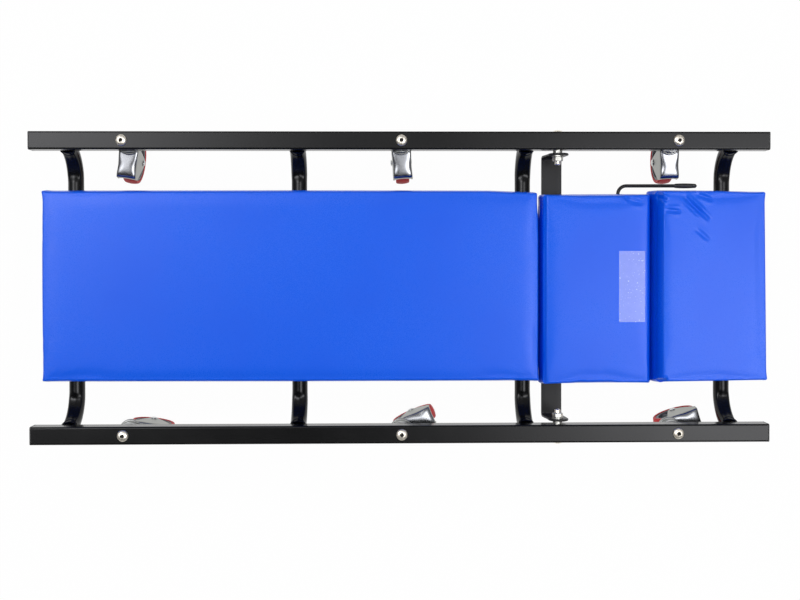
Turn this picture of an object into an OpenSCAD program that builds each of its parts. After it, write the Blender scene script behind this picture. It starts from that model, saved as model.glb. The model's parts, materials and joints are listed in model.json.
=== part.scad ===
// Mechanic creeper. Two square rails stand on six swivel casters and carry four dropped cross tubes.
// A padded board lies on the tubes, and a padded headrest tilts up on a hinge bar between the rails.
// The origin is on the floor under the middle. +X runs to the head end, +Z is up,
// and +Y is to the left of someone who faces the head end.

/* [Frame] */
// Width over the outer faces of the rails
frame_width = 430; // [424:2:470]
// Side of the square rail tube
rail_side = 25; // [24:0.5:28]
// Wall of the rail tube
rail_wall = 1.5; // [1:0.1:2]
// Outer edge radius of the rail tube
rail_edge = 2.5; // [2.25:0.25:4]
// Diameter of the round cross tubes
tube_d = 22; // [18:0.5:23]
// Wall of the cross tubes
tube_wall = 1.5; // [1:0.1:2]
// Drop from the rails' undersides to the middle of the cross tubes
tube_drop = 40; // [36:1:44]
// Bend radius of the cross tubes, to the middle of the tube
tube_bend = 50; // [46:1:56]
// Distance of the foot and head tubes from the rails' ends
end_tube_inset = 47; // [36:0.5:48]
// Distance of the shoulder tube from the main cushion's head end
shoulder_tube_inset = 17; // [14:0.5:30]
// Place of the waist tube along the rails
waist_x = -145; // [-165:5:-110]

/* [Casters] */
// Diameter of the wheels
wheel_d = 63.5; // [58:0.5:66]
// Width of the tread
tread_width = 19; // [15:0.5:21]
// Thickness of the tread on its hub
tread_thickness = 5.5; // [4:0.5:8]
// Distance from the swivel axis to the axle
trail = 22; // [20:0.5:24]
// Outer width of the fork
fork_width = 28; // [27:0.5:30]
// Thickness of the fork's pressed sheet
fork_sheet = 2; // [1.5:0.1:2.2]
// Distance of the end casters from the rails' ends
end_caster_inset = 127; // [120:1:140]
// Place of the middle casters along the rails
middle_caster_x = 0; // [-20:1:20]

/* [Deck] */
// Thickness of the plywood boards
board_thickness = 9; // [8:0.5:12]
// Length of the main cushion
deck_length = 693; // [640:1:740]
// Clear width between the main cushion and a caster that points in under it
deck_caster_gap = 15.5; // [13:0.5:24]
// Height of the main cushion's side above its board
deck_side = 20; // [15:1:24]
// Rise of the main cushion's crown above its side
deck_crown = 6; // [3:0.5:9]

/* [Headrest] */
// Gap between the main cushion and the headrest
head_gap = 7; // [5:0.5:12]
// Length of the low cushion that lies next to the deck
neck_length = 155; // [145:5:175]
// Length of the raised pillow
pillow_length = 152; // [146:2:170]
// Clear width between the headrest cushions and a caster that points in under them
head_caster_gap = 18; // [17:0.5:24]
// Height of the low cushion's side above its board
neck_side = 20; // [15:1:22]
// Height of the pillow's side above its board
pillow_side = 37; // [30:1:42]
// Rise of the crown of both headrest cushions
head_crown = 6; // [3:0.5:9]
// Steepest tilt of the headrest in degrees
tilt_max = 40; // [30:1:42]

/* [Hinge] */
// Width of the hinge bar's flat strip
bar_width = 29; // [26:0.5:30]
// Thickness of the hinge bar
bar_thickness = 3; // [2.5:0.5:4]
// Distance from the main cushion's head end to the hinge axis
hinge_setback = 25; // [24:0.5:32]
// Length of the spacer sleeve between rail and ear
sleeve_length = 3.7; // [2:0.1:6]

/* [Prop] */
// Diameter of the prop's wire
wire_d = 5; // [4:0.5:6]
// Length of the prop's arms, pivot to crossbar
prop_arm = 110; // [106:1:112]
// Width between the prop's arms, to the middle of the wire
prop_width = 100; // [80:2:110]
// Turn of the prop for one degree of tilt
prop_ratio = 2.1; // [2.05:0.01:2.15]

/* [Hidden] */
$fn = 64;

// Clearances that all pieces share
rest_gap = 0.3;
run_fit = 0.06;
thread_fit = 0.05;
cut_over = 1;

// Rails and cross tubes
rail_hole_slack = 0.25;
cap_plate = 2;
cap_plug = 12;
cap_slack = 0.15;
plug_wall = 2;
edge_steps = 6;
weld_leg = 2.5;
weld_throat = 1.3;

// Swivel and fork. The angles are the casters' headings as they stand, from foot to head.
left_caster_angles = [-98, -86, -88];
right_caster_angles = [-8, 23, 18];
wheel_headroom = 10.2;
boss_rise = 10;
boss_d = 32;
boss_cup_d = 25;
race_height = 5;
race_d = 26;
stem_collar_h = 7;
stem_collar_af = 19;
hood_back = 14;
hood_flat = 12;
hood_short = 1.75;
lip_rise = 21;
hood_steps = 12;
leg_back_drop = 10;
axle_boss_r = 9;
leg_front_angle = -40;
leg_back_angle = 215;

// Wheel and axle
axle_d = 6;
axle_head_d = 10;
axle_head_h = 2;
axle_peen_d = 8.5;
axle_peen_h = 1.5;
hub_boss_r = 8;
hub_rim_thickness = 4;
hub_rim_width = 17;
hub_web = 6;
tread_crown = 1.6;
tread_steps = 8;

// Bolts through the rails
bolt_d = 8;
bolt_af = 13;
bolt_tail = 2;
button_d = 16;
button_h = 4.2;
socket_af = 5;
socket_depth = 2.6;
nut_h = 6.5;
flange_d = 17;
flange_h = 1.6;
dome_steps = 6;
mushroom_d = 14;
mushroom_h = 3;
hinge_washer_d = 16;
hinge_washer_h = 1.5;
sleeve_wall = 2.5;

// Boards and their screws
deck_foot_inset = 9;
pillow_end_inset = 3;
cover_wrap = 5;
head_cover_wrap = 4;
board_edge = 6;
screw_d = 6;
screw_head_d = 12;
screw_head_h = 3;
screw_hole_slack = 0.3;
screw_short = 2;
deck_screw_share = 2 / 3;

// Cushion forms. Insets are shares of the edge's rounding, heights of the side, scales of the top.
cushion_corner = 14;
cushion_edge = 11;
corner_steps = 5;
long_steps = 12;
short_steps = 6;
side_pull = 1.4;
side_inset_shares = [0.14, 0.03, 0, 0.07, 0.28, 0.62, 1];
side_height_shares = [0, 0.14, 0.42, 0.64, 0.82, 0.94, 1];
crown_scale_shares = [0.95, 0.85, 0.7, 0.45];

// Headrest
neck_shift = -3;
pillow_shift = 1.75;
cushion_seam = 1;
bar_screw_shares = [-0.86, -0.38, 0.38, 0.86];
bar_screw_head_d = 10;
bar_screw_head_h = 2;
ear_r = 14;
ear_lean = 3.5;
ear_hole_below_top = 10.5;

// Prop
prop_pivot_back = 94;
wire_bend = 6;
wire_stub = 26;
clip_width = 12;
clip_offset = 18;
clip_wall = 1.8;
clip_foot = 9;
clip_foot_h = 1.5;
clip_screw_d = 3;
clip_screw_head_d = 6;
clip_screw_head_h = 1.3;
clip_screw_slack = 0.15;
clip_screw_grip = 6;
grip_length = 33;
grip_wall = 1;
grip_end = 2;
handle_gap = 1.4;
handle_beyond = 2;
rack_thickness = 4;
rack_height = 9;
rack_spread_share = 0.25;
rack_gap = 0.5;
rack_lead = 4;
notch_slack = 0.5;
notch_tilt_shares = [0.5, 0.75, 1];

// Places that follow from the sizes above
rail_length = deck_foot_inset + deck_length + head_gap + neck_length + cushion_seam
    + pillow_length + pillow_end_inset;
wheel_r = wheel_d / 2;
axle_r = axle_d / 2;
bolt_r = bolt_d / 2;
hood_z = wheel_d + wheel_headroom + fork_sheet;
boss_z = hood_z + boss_rise;
lip_z = wheel_r + lip_rise;
hood_reach = trail + wheel_r - hood_short;
rail_z = boss_z + rest_gap + race_height + stem_collar_h;
rail_top = rail_z + rail_side;
rail_y = (frame_width - rail_side) / 2;
deck_width = 2 * (rail_y - hood_reach - deck_caster_gap);
head_width = 2 * (rail_y - hood_reach - head_caster_gap);
tube_r = tube_d / 2;
tube_z = rail_z - tube_drop;
board_z = tube_z + tube_r;
end_tube_x = rail_length / 2 - end_tube_inset;
deck_x = [-rail_length / 2 + deck_foot_inset, -rail_length / 2 + deck_foot_inset + deck_length];
shoulder_x = deck_x[1] - shoulder_tube_inset;
neck_x = [deck_x[1] + head_gap, deck_x[1] + head_gap + neck_length];
pillow_x = [neck_x[1] + cushion_seam, neck_x[1] + cushion_seam + pillow_length];
head_board_z = board_z + rest_gap;
head_board_half = head_width / 2 + neck_shift - head_cover_wrap;
hinge_x = deck_x[1] + hinge_setback;
hinge_z = rail_z + rail_side / 2;
ear_outer_y = rail_y - rail_side / 2 - sleeve_length - rest_gap;
ear_inner_y = ear_outer_y - bar_thickness;
washer_y = ear_inner_y - rest_gap - hinge_washer_h;
bar_z = head_board_z - bar_thickness;
bar_x = [hinge_x - ear_lean / 2 - bar_width / 2, hinge_x - ear_lean / 2 + bar_width / 2];
wire_r = wire_d / 2;
pivot_x = hinge_x + prop_pivot_back;
pivot_z = head_board_z - rest_gap - wire_r;
grip_r = wire_r + grip_wall;
hood_sweep = norm([hood_reach, fork_width / 2]);
handle_y = rail_y - hood_sweep - handle_gap - grip_r;
clip_y = prop_width / 2 + clip_offset;
clip_r = wire_r + run_fit + clip_wall;
king_nut_z = boss_z - fork_sheet - rest_gap - flange_h - nut_h;

// Each caster's name, place and heading
end_caster_x = rail_length / 2 - end_caster_inset;
CASTERS = [
    ["foot_left", -end_caster_x, rail_y, left_caster_angles[0]],
    ["middle_left", middle_caster_x, rail_y, left_caster_angles[1]],
    ["head_left", end_caster_x, rail_y, left_caster_angles[2]],
    ["foot_right", -end_caster_x, -rail_y, right_caster_angles[0]],
    ["middle_right", middle_caster_x, -rail_y, right_caster_angles[1]],
    ["head_right", end_caster_x, -rail_y, right_caster_angles[2]]
];

// Each cross tube's name and place, and whether the main board is screwed to it
CROSS_TUBES = [
    ["foot_cross_tube", -end_tube_x, true],
    ["waist_cross_tube", waist_x, true],
    ["shoulder_cross_tube", shoulder_x, true],
    ["head_cross_tube", end_tube_x, false]
];

// Points of an arc about a centre, from one angle to another
function arc(centre, radii, from, to, steps) = [
    for (i = [0 : steps])
        let (a = from + (to - from) * i / steps)
            [centre.x + radii.x * cos(a), centre.y + radii.y * sin(a)]
];

// Points of a rectangle with round corners, about its middle
function rounded_rect(size, r, steps) = [
    for (corner = [[1, 1, 0], [-1, 1, 90], [-1, -1, 180], [1, -1, 270]])
        each arc([corner.x * (size.x / 2 - r), corner.y * (size.y / 2 - r)], [r, r],
            corner.z, corner.z + 90, steps)
];

// A round rod or bore along Y
module y_rod(r, from, to) {
    translate([0, from, 0]) rotate([-90, 0, 0]) cylinder(r = r, h = to - from);
}

// A hexagonal prism along Z, by its width over the flats
module hexagon(flats, h) {
    cylinder(d = flats / cos(30), h = h, $fn = 6);
}

// A domed head on the plane z = 0
module dome(r, h) {
    rotate_extrude() polygon(concat([[0, 0]], arc([0, 0], [r, h], 0, 90, dome_steps)));
}

// A plate in the X-Y plane with round corners, between two places along each axis
module plate(x, y, z, edge) {
    translate([(x[0] + x[1]) / 2, (y[0] + y[1]) / 2, z[0]])
        linear_extrude(z[1] - z[0]) polygon(rounded_rect([x[1] - x[0], y[1] - y[0]], edge, edge_steps));
}

// Frame

// One square tube with the holes for its three caster bolts and its hinge bolt
module rail(side) {
    color("#1d1e20") difference() {
        translate([0, side * rail_y, rail_z + rail_side / 2]) rotate([90, 0, 90])
            linear_extrude(rail_length - 2 * cap_plate, center = true) difference() {
                polygon(rounded_rect([rail_side, rail_side], rail_edge, edge_steps));
                polygon(rounded_rect([rail_side - 2 * rail_wall, rail_side - 2 * rail_wall],
                    rail_edge - rail_wall, edge_steps));
            }
        for (x = [-end_caster_x, middle_caster_x, end_caster_x])
            translate([x, side * rail_y, rail_z - cut_over])
                cylinder(r = bolt_r + rail_hole_slack, h = rail_side + 2 * cut_over);
        translate([hinge_x, side * rail_y, hinge_z])
            y_rod(bolt_r + rail_hole_slack, -rail_side / 2 - cut_over, rail_side / 2 + cut_over);
    }
}

// Moulded plugs that close the four rail ends
module rail_end_caps() {
    bore = rail_side - 2 * rail_wall - 2 * cap_slack;
    color("#141414") for (end = [-1, 1], side = [-1, 1])
        translate([end * rail_length / 2, side * rail_y, rail_z + rail_side / 2])
            rotate([90, 0, -90 * end]) {
                linear_extrude(cap_plate)
                    polygon(rounded_rect([rail_side, rail_side], rail_edge, edge_steps));
                translate([0, 0, cap_plate]) linear_extrude(cap_plug) difference() {
                    square(bore, center = true);
                    square(bore - 2 * plug_wall, center = true);
                }
            }
}

// A cross tube's run at one radius, level in the middle and turned up at both ends
module tube_run(r) {
    bend_out = sqrt(pow(tube_bend, 2) - pow(tube_bend - tube_drop, 2));
    y_rod(r, bend_out - rail_y, rail_y - bend_out);
    for (turn = [0, 180])
        rotate([0, 0, turn]) translate([0, rail_y - bend_out, tube_bend]) rotate([0, 90, 0])
            rotate_extrude(angle = 90) translate([tube_bend, 0]) circle(r);
}

// A cross tube with its weld beads, cut flush to the rails' undersides
module cross_tube(x, screwed) {
    color("#1d1e20") translate([x, 0, tube_z]) difference() {
        union() {
            tube_run(tube_r);
            for (side = [-1, 1])
                translate([0, side * rail_y, tube_drop - weld_leg])
                    cylinder(r1 = tube_r, r2 = min(tube_r + weld_throat, rail_side / 2), h = weld_leg);
        }
        tube_run(tube_r - tube_wall);
        translate([-tube_d, -frame_width, tube_drop]) cube([2 * tube_d, 2 * frame_width, tube_bend]);
        if (screwed) deck_screw_places()
            translate([0, 0, -tube_r - cut_over])
                cylinder(r = screw_d / 2 + screw_hole_slack, h = tube_d + 2 * cut_over);
    }
}

// Deck

// The two places of the deck's screws across a tube
module deck_screw_places() {
    for (side = [-1, 1]) translate([0, side * deck_screw_share * deck_width / 2, 0]) children();
}

module main_board_blank() {
    half = deck_width / 2 - cover_wrap;
    plate([deck_x[0] + cover_wrap, deck_x[1] - cover_wrap], [-half, half],
        [board_z, board_z + board_thickness], board_edge);
}

module main_board() {
    color("#b58a58") difference() {
        main_board_blank();
        for (tube = CROSS_TUBES)
            if (tube[2]) translate([tube[1], 0, board_z - cut_over]) deck_screw_places()
                cylinder(r = screw_d / 2 + thread_fit, h = cut_over + board_thickness - screw_short);
    }
}

// Screws that come up through the cross tubes into the main board
module main_board_screws() {
    color("#8f9296") for (tube = CROSS_TUBES)
        if (tube[2]) translate([tube[1], 0, tube_z - tube_r]) deck_screw_places() {
            translate([0, 0, -screw_head_h]) cylinder(d = screw_head_d, h = screw_head_h);
            cylinder(d = screw_d, h = tube_d + board_thickness - screw_short - rest_gap);
        }
}

// Centre of one corner's rounding, counted round from the first quarter
function corner_centre(q, half, r) = [
    (q % 4 == 0 || q % 4 == 3 ? 1 : -1) * (half.x - r),
    (q % 4 < 2 ? 1 : -1) * (half.y - r)
];

// One closed ring of a cushion: round corners, and sides that are drawn in a little midway
function cushion_ring(size, inset) =
    let (half = [size.x / 2 - inset, size.y / 2 - inset], r = cushion_corner - inset) [
        for (q = [0 : 3])
            let (
                centre = corner_centre(q, half, r),
                out = [cos(90 * q + 90), sin(90 * q + 90)],
                from = centre + r * out,
                to = corner_centre(q + 1, half, r) + r * out,
                steps = q % 2 == 0 ? long_steps : short_steps
            )
                each concat(
                    arc(centre, [r, r], 90 * q, 90 * q + 90, corner_steps),
                    [for (j = [1 : steps - 1])
                        from + (to - from) * j / steps - side_pull * sin(180 * j / steps) * out]
                )
    ];

// Height of the crown at a place on the cushion's top, nothing at the top's edges
function crown_at(p, size, crown) =
    let (half = [size.x / 2 - cushion_edge, size.y / 2 - cushion_edge])
        crown * (1 - pow(p.x / half.x, 4)) * (1 - pow(p.y / half.y, 4));

// All rings of a cushion from its underside to its crown
function cushion_rings(size, side, crown) = concat(
    [for (k = [0 : len(side_inset_shares) - 1])
        [for (p = cushion_ring(size, side_inset_shares[k] * cushion_edge))
            [p.x, p.y, side_height_shares[k] * side]]],
    [for (s = crown_scale_shares)
        [for (p = cushion_ring(size, cushion_edge))
            [s * p.x, s * p.y, side + crown_at(s * p, size, crown)]]]
);

// A cushion with a rounded side and a crowned top, about its middle and on the plane z = 0
module cushion(size, side, crown) {
    rings = cushion_rings(size, side, crown);
    last = len(rings) - 1;
    n = len(rings[0]);
    points = concat([for (ring = rings) each ring], [[0, 0, 0], [0, 0, side + crown]]);
    below = len(points) - 2;
    above = len(points) - 1;
    bands = [for (k = [0 : last - 1]) for (j = [0 : n - 1])
        let (a = k * n + j, b = k * n + (j + 1) % n)
            each [[a, a + n, b + n], [a, b + n, b]]];
    under = [for (j = [0 : n - 1]) [below, j, (j + 1) % n]];
    over = [for (j = [0 : n - 1]) [above, last * n + (j + 1) % n, last * n + j]];
    polyhedron(points = points, faces = concat(bands, under, over), convexity = 6);
}

// The cover wraps the board's edges, so the board lies in a pocket of the cushion's solid
module main_cushion() {
    color("#2563ee") difference() {
        translate([(deck_x[0] + deck_x[1]) / 2, 0, board_z + rest_gap])
            cushion([deck_length, deck_width], board_thickness - rest_gap + deck_side, deck_crown);
        main_board_blank();
    }
}

// Casters

// Carries a piece from a caster's own frame to its place: swivel axis at the origin, trail along +X
module at_caster(caster) {
    translate([caster[1], caster[2], 0]) rotate([0, 0, caster[3]]) children();
}

// The same for a piece that turns about the axle, with the axle at the origin
module at_axle(caster) {
    at_caster(caster) translate([trail, 0, wheel_r]) children();
}

// Side outline of the hood and of the legs that narrow down to the axle
module fork_outline() {
    polygon(concat(
        [[-hood_back, hood_z - leg_back_drop], [-hood_back, hood_z]],
        arc([hood_flat, lip_z], [hood_reach - hood_flat, hood_z - lip_z], 90, 0, hood_steps),
        [for (a = [leg_front_angle, leg_back_angle])
            [trail + axle_boss_r * cos(a), wheel_r + axle_boss_r * sin(a)]]
    ));
    translate([trail, wheel_r]) circle(axle_boss_r);
}

// The fork seen from above: a half circle about the swivel axis, then straight to the lip
module fork_plan(inset) {
    half = fork_width / 2 - inset;
    circle(r = hood_back - inset);
    translate([0, -half]) square([hood_reach + cut_over, 2 * half]);
}

// Side outline of the room for the wheel, one sheet inside the hood
module fork_room() {
    polygon(concat(
        [[-hood_back - cut_over, 0], [-hood_back - cut_over, hood_z - fork_sheet]],
        arc([hood_flat, lip_z], [hood_reach - hood_flat - fork_sheet, hood_z - lip_z - fork_sheet],
            90, 0, hood_steps),
        [[hood_reach - fork_sheet, 0]]
    ));
}

// Pressed fork: a hood over the wheel, two legs, and a round boss that holds the swivel bearing
module fork(caster) {
    color("#c8cbd0") at_caster(caster) difference() {
        union() {
            intersection() {
                rotate([90, 0, 0]) linear_extrude(fork_width, center = true) fork_outline();
                linear_extrude(boss_z) fork_plan(0);
            }
            translate([0, 0, hood_z - fork_sheet]) cylinder(d = boss_d, h = boss_rise + fork_sheet);
        }
        intersection() {
            rotate([90, 0, 0]) linear_extrude(fork_width, center = true) fork_room();
            translate([0, 0, -cut_over]) linear_extrude(boss_z) fork_plan(fork_sheet);
        }
        translate([0, 0, hood_z - fork_sheet - cut_over])
            cylinder(d = boss_cup_d, h = boss_rise + cut_over);
        translate([0, 0, hood_z]) cylinder(r = bolt_r + run_fit, h = boss_rise + cut_over);
        translate([trail, 0, wheel_r])
            y_rod(axle_r + thread_fit, -fork_width / 2 - cut_over, fork_width / 2 + cut_over);
    }
}

// Axle rivet with a low head outside one leg and a peened end outside the other
module axle(caster) {
    color("#a9acb0") at_axle(caster) {
        y_rod(axle_r, -fork_width / 2, fork_width / 2);
        translate([0, -fork_width / 2, 0]) rotate([90, 0, 0]) dome(axle_head_d / 2, axle_head_h);
        translate([0, fork_width / 2, 0]) rotate([-90, 0, 0]) dome(axle_peen_d / 2, axle_peen_h);
    }
}

// Moulded wheel core: a boss on the axle, a web and a rim
module hub(caster) {
    half = fork_width / 2 - fork_sheet - rest_gap;
    rim = wheel_r - tread_thickness;
    color("#8b8d90") at_axle(caster) rotate([-90, 0, 0]) rotate_extrude() polygon([
        [axle_r + run_fit, -half], [hub_boss_r, -half], [hub_boss_r, -hub_web / 2],
        [rim - hub_rim_thickness, -hub_web / 2], [rim - hub_rim_thickness, -hub_rim_width / 2],
        [rim, -hub_rim_width / 2], [rim, hub_rim_width / 2],
        [rim - hub_rim_thickness, hub_rim_width / 2], [rim - hub_rim_thickness, hub_web / 2],
        [hub_boss_r, hub_web / 2], [hub_boss_r, half], [axle_r + run_fit, half]
    ]);
}

// Crowned tread on the hub's rim
module tread(caster) {
    inner = wheel_r - tread_thickness + thread_fit;
    color("#c8202a") at_axle(caster) rotate([-90, 0, 0]) rotate_extrude() polygon(concat(
        [[inner, -tread_width / 2]],
        [for (i = [0 : tread_steps]) let (s = 2 * i / tread_steps - 1)
            [wheel_r - tread_crown * s * s, s * tread_width / 2]],
        [[inner, tread_width / 2]]
    ));
}

// Button-head bolts that hold the casters, down through the rails
module caster_bolts() {
    color("#cfc6b4") for (caster = CASTERS) at_caster(caster) {
        translate([0, 0, king_nut_z - bolt_tail])
            cylinder(r = bolt_r, h = rail_top - king_nut_z + bolt_tail);
        translate([0, 0, rail_top]) difference() {
            dome(button_d / 2, button_h);
            translate([0, 0, button_h - socket_depth]) hexagon(socket_af, socket_depth + cut_over);
        }
    }
}

// Flanged lock nuts inside the forks' bosses
module caster_nuts() {
    color("#9da0a4") for (caster = CASTERS) at_caster(caster) translate([0, 0, king_nut_z]) difference() {
        union() {
            hexagon(bolt_af, nut_h);
            translate([0, 0, nut_h]) cylinder(d = flange_d, h = flange_h);
        }
        translate([0, 0, -cut_over])
            cylinder(r = bolt_r + thread_fit, h = nut_h + flange_h + 2 * cut_over);
    }
}

// Fixed upper races of the swivels, each with a hexagonal collar against the rail's underside
module caster_races() {
    race_z = rail_z - stem_collar_h - race_height;
    color("#9da0a4") for (caster = CASTERS) at_caster(caster) translate([0, 0, race_z]) difference() {
        union() {
            cylinder(d = race_d, h = race_height);
            translate([0, 0, race_height]) hexagon(stem_collar_af, stem_collar_h);
        }
        translate([0, 0, -cut_over])
            cylinder(r = bolt_r + thread_fit, h = race_height + stem_collar_h + 2 * cut_over);
    }
}

// Hinge

// Both ends of the hinge axis, with +Z pointing out through the rail and the axle line at the origin
module at_hinge() {
    for (side = [-1, 1]) translate([hinge_x, 0, hinge_z]) rotate([-90 * side, 0, 0]) children();
}

// A ring on the hinge bolt, between two places across the frame
module hinge_ring(r, from, to) {
    at_hinge() translate([0, 0, from]) difference() {
        cylinder(r = r, h = to - from);
        translate([0, 0, -cut_over]) cylinder(r = bolt_r + thread_fit, h = to - from + 2 * cut_over);
    }
}

// Mushroom-head bolts through the rails
module hinge_bolts() {
    color("#d0c9ba") at_hinge() {
        translate([0, 0, rail_y + rail_side / 2]) dome(mushroom_d / 2, mushroom_h);
        translate([0, 0, washer_y - nut_h])
            cylinder(r = bolt_r, h = rail_y + rail_side / 2 - washer_y + nut_h);
        translate([0, 0, washer_y - nut_h]) rotate([180, 0, 0]) dome(bolt_r, bolt_tail);
    }
}

// Spacer sleeves between the rails and the ears
module hinge_sleeves() {
    inner_face = rail_y - rail_side / 2;
    color("#d5d5d0") hinge_ring(bolt_r + sleeve_wall, inner_face - sleeve_length, inner_face);
}

module hinge_washers() {
    color("#c4c4be") hinge_ring(hinge_washer_d / 2, washer_y, washer_y + hinge_washer_h);
}

module hinge_nuts() {
    color("#c4c4be") at_hinge() translate([0, 0, washer_y - nut_h]) difference() {
        hexagon(bolt_af, nut_h);
        translate([0, 0, -cut_over]) cylinder(r = bolt_r + thread_fit, h = nut_h + 2 * cut_over);
    }
}

// Headrest

// The places of the screws along the hinge bar
module bar_screw_places() {
    for (share = bar_screw_shares)
        translate([(bar_x[0] + bar_x[1]) / 2, share * head_board_half, bar_z]) children();
}

// Side outline of the hinge bar's ear
module ear_outline() {
    middle = hinge_x + ear_lean / 2;
    shoulder = hinge_z + ear_hole_below_top - ear_r;
    polygon([[bar_x[0], bar_z], [bar_x[1], bar_z], [middle + ear_r, shoulder], [middle - ear_r, shoulder]]);
    translate([middle, shoulder]) circle(ear_r);
}

// Flat strip under the head board with an ear turned up at each end
module hinge_bar() {
    color("#222326") difference() {
        union() {
            translate([bar_x[0], -ear_outer_y, bar_z]) cube([bar_width, 2 * ear_outer_y, bar_thickness]);
            for (y = [ear_outer_y, -ear_inner_y])
                translate([0, y, 0]) rotate([90, 0, 0]) linear_extrude(bar_thickness) ear_outline();
        }
        translate([hinge_x, 0, hinge_z]) y_rod(bolt_r + run_fit, -rail_y, rail_y);
        bar_screw_places() translate([0, 0, -cut_over])
            cylinder(r = screw_d / 2 + screw_hole_slack, h = bar_thickness + 2 * cut_over);
    }
}

module head_board_blank() {
    plate([neck_x[0] + cover_wrap, pillow_x[1] - cover_wrap], [-head_board_half, head_board_half],
        [head_board_z, head_board_z + board_thickness], board_edge);
}

module head_board() {
    color("#b58a58") difference() {
        head_board_blank();
        bar_screw_places()
            cylinder(r = screw_d / 2 + thread_fit, h = bar_thickness + board_thickness - screw_short);
        at_clips() clip_screw_places()
            cylinder(r = clip_screw_d / 2 + thread_fit, h = clip_screw_grip + rest_gap);
    }
}

// Low-head screws that hold the hinge bar to the head board
module head_board_screws() {
    color("#8f9296") bar_screw_places() {
        translate([0, 0, -bar_screw_head_h]) cylinder(d = bar_screw_head_d, h = bar_screw_head_h);
        cylinder(d = screw_d, h = bar_thickness + board_thickness - screw_short - rest_gap);
    }
}

// One of the two cushions on the head board
module head_cushion(x, shift, side) {
    color("#2f6bf0") difference() {
        translate([(x[0] + x[1]) / 2, shift, head_board_z + rest_gap])
            cushion([x[1] - x[0], head_width], board_thickness - rest_gap + side, head_crown);
        head_board_blank();
    }
}

// Prop

// Places pieces of the prop in its own frame, with the pivot along Y through the origin
module at_pivot() {
    translate([pivot_x, 0, pivot_z]) children();
}

// A round wire along a path in the X-Y plane whose corners are all square
module bent_wire(path, bend, r) {
    last = len(path) - 1;
    for (i = [0 : last - 1]) {
        ahead = (path[i + 1] - path[i]) / norm(path[i + 1] - path[i]);
        from = path[i] + (i > 0 ? bend : 0) * ahead;
        to = path[i + 1] - (i < last - 1 ? bend : 0) * ahead;
        translate(from) rotate([0, 90, atan2(ahead.y, ahead.x)]) cylinder(r = r, h = norm(to - from));
    }
    for (i = [1 : last - 1]) {
        before = (path[i] - path[i - 1]) / norm(path[i] - path[i - 1]);
        after = (path[i + 1] - path[i]) / norm(path[i + 1] - path[i]);
        left = before.x * after.y - before.y * after.x > 0;
        translate(path[i] + bend * (after - before))
            rotate([0, 0, atan2(-after.y, -after.x) - (left ? 0 : 90)])
                rotate_extrude(angle = 90) translate([bend, 0]) circle(r);
    }
}

// One bent wire: the handle at the left side, the pivot, two arms and the crossbar between them
module prop_rod() {
    half = prop_width / 2;
    color("#1b1c1e") at_pivot() bent_wire([
        [prop_arm + handle_beyond, handle_y], [0, handle_y], [0, half], [prop_arm, half],
        [prop_arm, -half], [0, -half], [0, -half - wire_stub]
    ], wire_bend, wire_r);
}

// Dipped grip on the handle's end
module prop_grip() {
    end = prop_arm + handle_beyond;
    color("#17181a") at_pivot() translate([end + grip_end, handle_y, 0]) rotate([0, -90, 0]) difference() {
        cylinder(r = grip_r, h = grip_length);
        translate([0, 0, grip_end - thread_fit]) cylinder(r = wire_r + thread_fit, h = grip_length);
    }
}

// The two clips' places on the pivot, at the wire's middle
module at_clips() {
    at_pivot() for (side = [-1, 1]) translate([0, side * clip_y, 0]) children();
}

// The two screws of a clip, at the underside of its feet
module clip_screw_places() {
    for (side = [-1, 1])
        translate([side * (clip_r + clip_foot / 2), 0, wire_r + rest_gap - clip_foot_h]) children();
}

// Saddle clips that hold the wire under the head board
module prop_clips() {
    seat = wire_r + rest_gap;
    color("#a0a3a7") at_clips() difference() {
        union() {
            y_rod(clip_r, -clip_width / 2, clip_width / 2);
            translate([-clip_r, -clip_width / 2, 0]) cube([2 * clip_r, clip_width, seat]);
            translate([-clip_r - clip_foot, -clip_width / 2, seat - clip_foot_h])
                cube([2 * (clip_r + clip_foot), clip_width, clip_foot_h]);
        }
        translate([0, 0, seat]) translate([-clip_r, -clip_width, 0])
            cube([2 * clip_r, 2 * clip_width, clip_r]);
        y_rod(wire_r + run_fit, -clip_width, clip_width);
        translate([-wire_r - run_fit, -clip_width, 0])
            cube([2 * (wire_r + run_fit), 2 * clip_width, seat + cut_over]);
        clip_screw_places() translate([0, 0, -cut_over])
            cylinder(r = clip_screw_d / 2 + clip_screw_slack, h = clip_foot_h + 2 * cut_over);
    }
}

module prop_clip_screws() {
    color("#8f9296") at_clips() clip_screw_places() {
        translate([0, 0, -clip_screw_head_h]) cylinder(d = clip_screw_head_d, h = clip_screw_head_h);
        cylinder(d = clip_screw_d, h = clip_screw_grip);
    }
}

// The crossbar's middle, along and up, when the headrest stands at a tilt
function crossbar(tilt) =
    let (
        along = prop_pivot_back,
        up = pivot_z - hinge_z,
        arm = tilt - prop_ratio * tilt
    ) [
        hinge_x + along * cos(tilt) - up * sin(tilt) + prop_arm * cos(arm),
        hinge_z + along * sin(tilt) + up * cos(tilt) + prop_arm * sin(arm)
    ];

// Two notched plates on the head tube, just under the crossbar's way
module prop_rack() {
    way = [for (tilt = [0 : tilt_max]) crossbar(tilt)];
    top = min([for (p = way) p.y]) - wire_r - rack_gap;
    start = min([for (p = way) p.x]) - wire_r - notch_slack - rack_lead;
    color("#1d1e20") for (side = [-1, 1])
        translate([0, side * rack_spread_share * prop_width, 0]) difference() {
            translate([start, -rack_thickness / 2, top - rack_height])
                cube([end_tube_x - start, rack_thickness, rack_height]);
            translate([end_tube_x, 0, tube_z]) y_rod(tube_r, -rack_thickness, rack_thickness);
            for (share = notch_tilt_shares)
                translate([crossbar(share * tilt_max).x, 0, top])
                    y_rod(wire_r + notch_slack, -rack_thickness, rack_thickness);
        }
}

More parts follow.
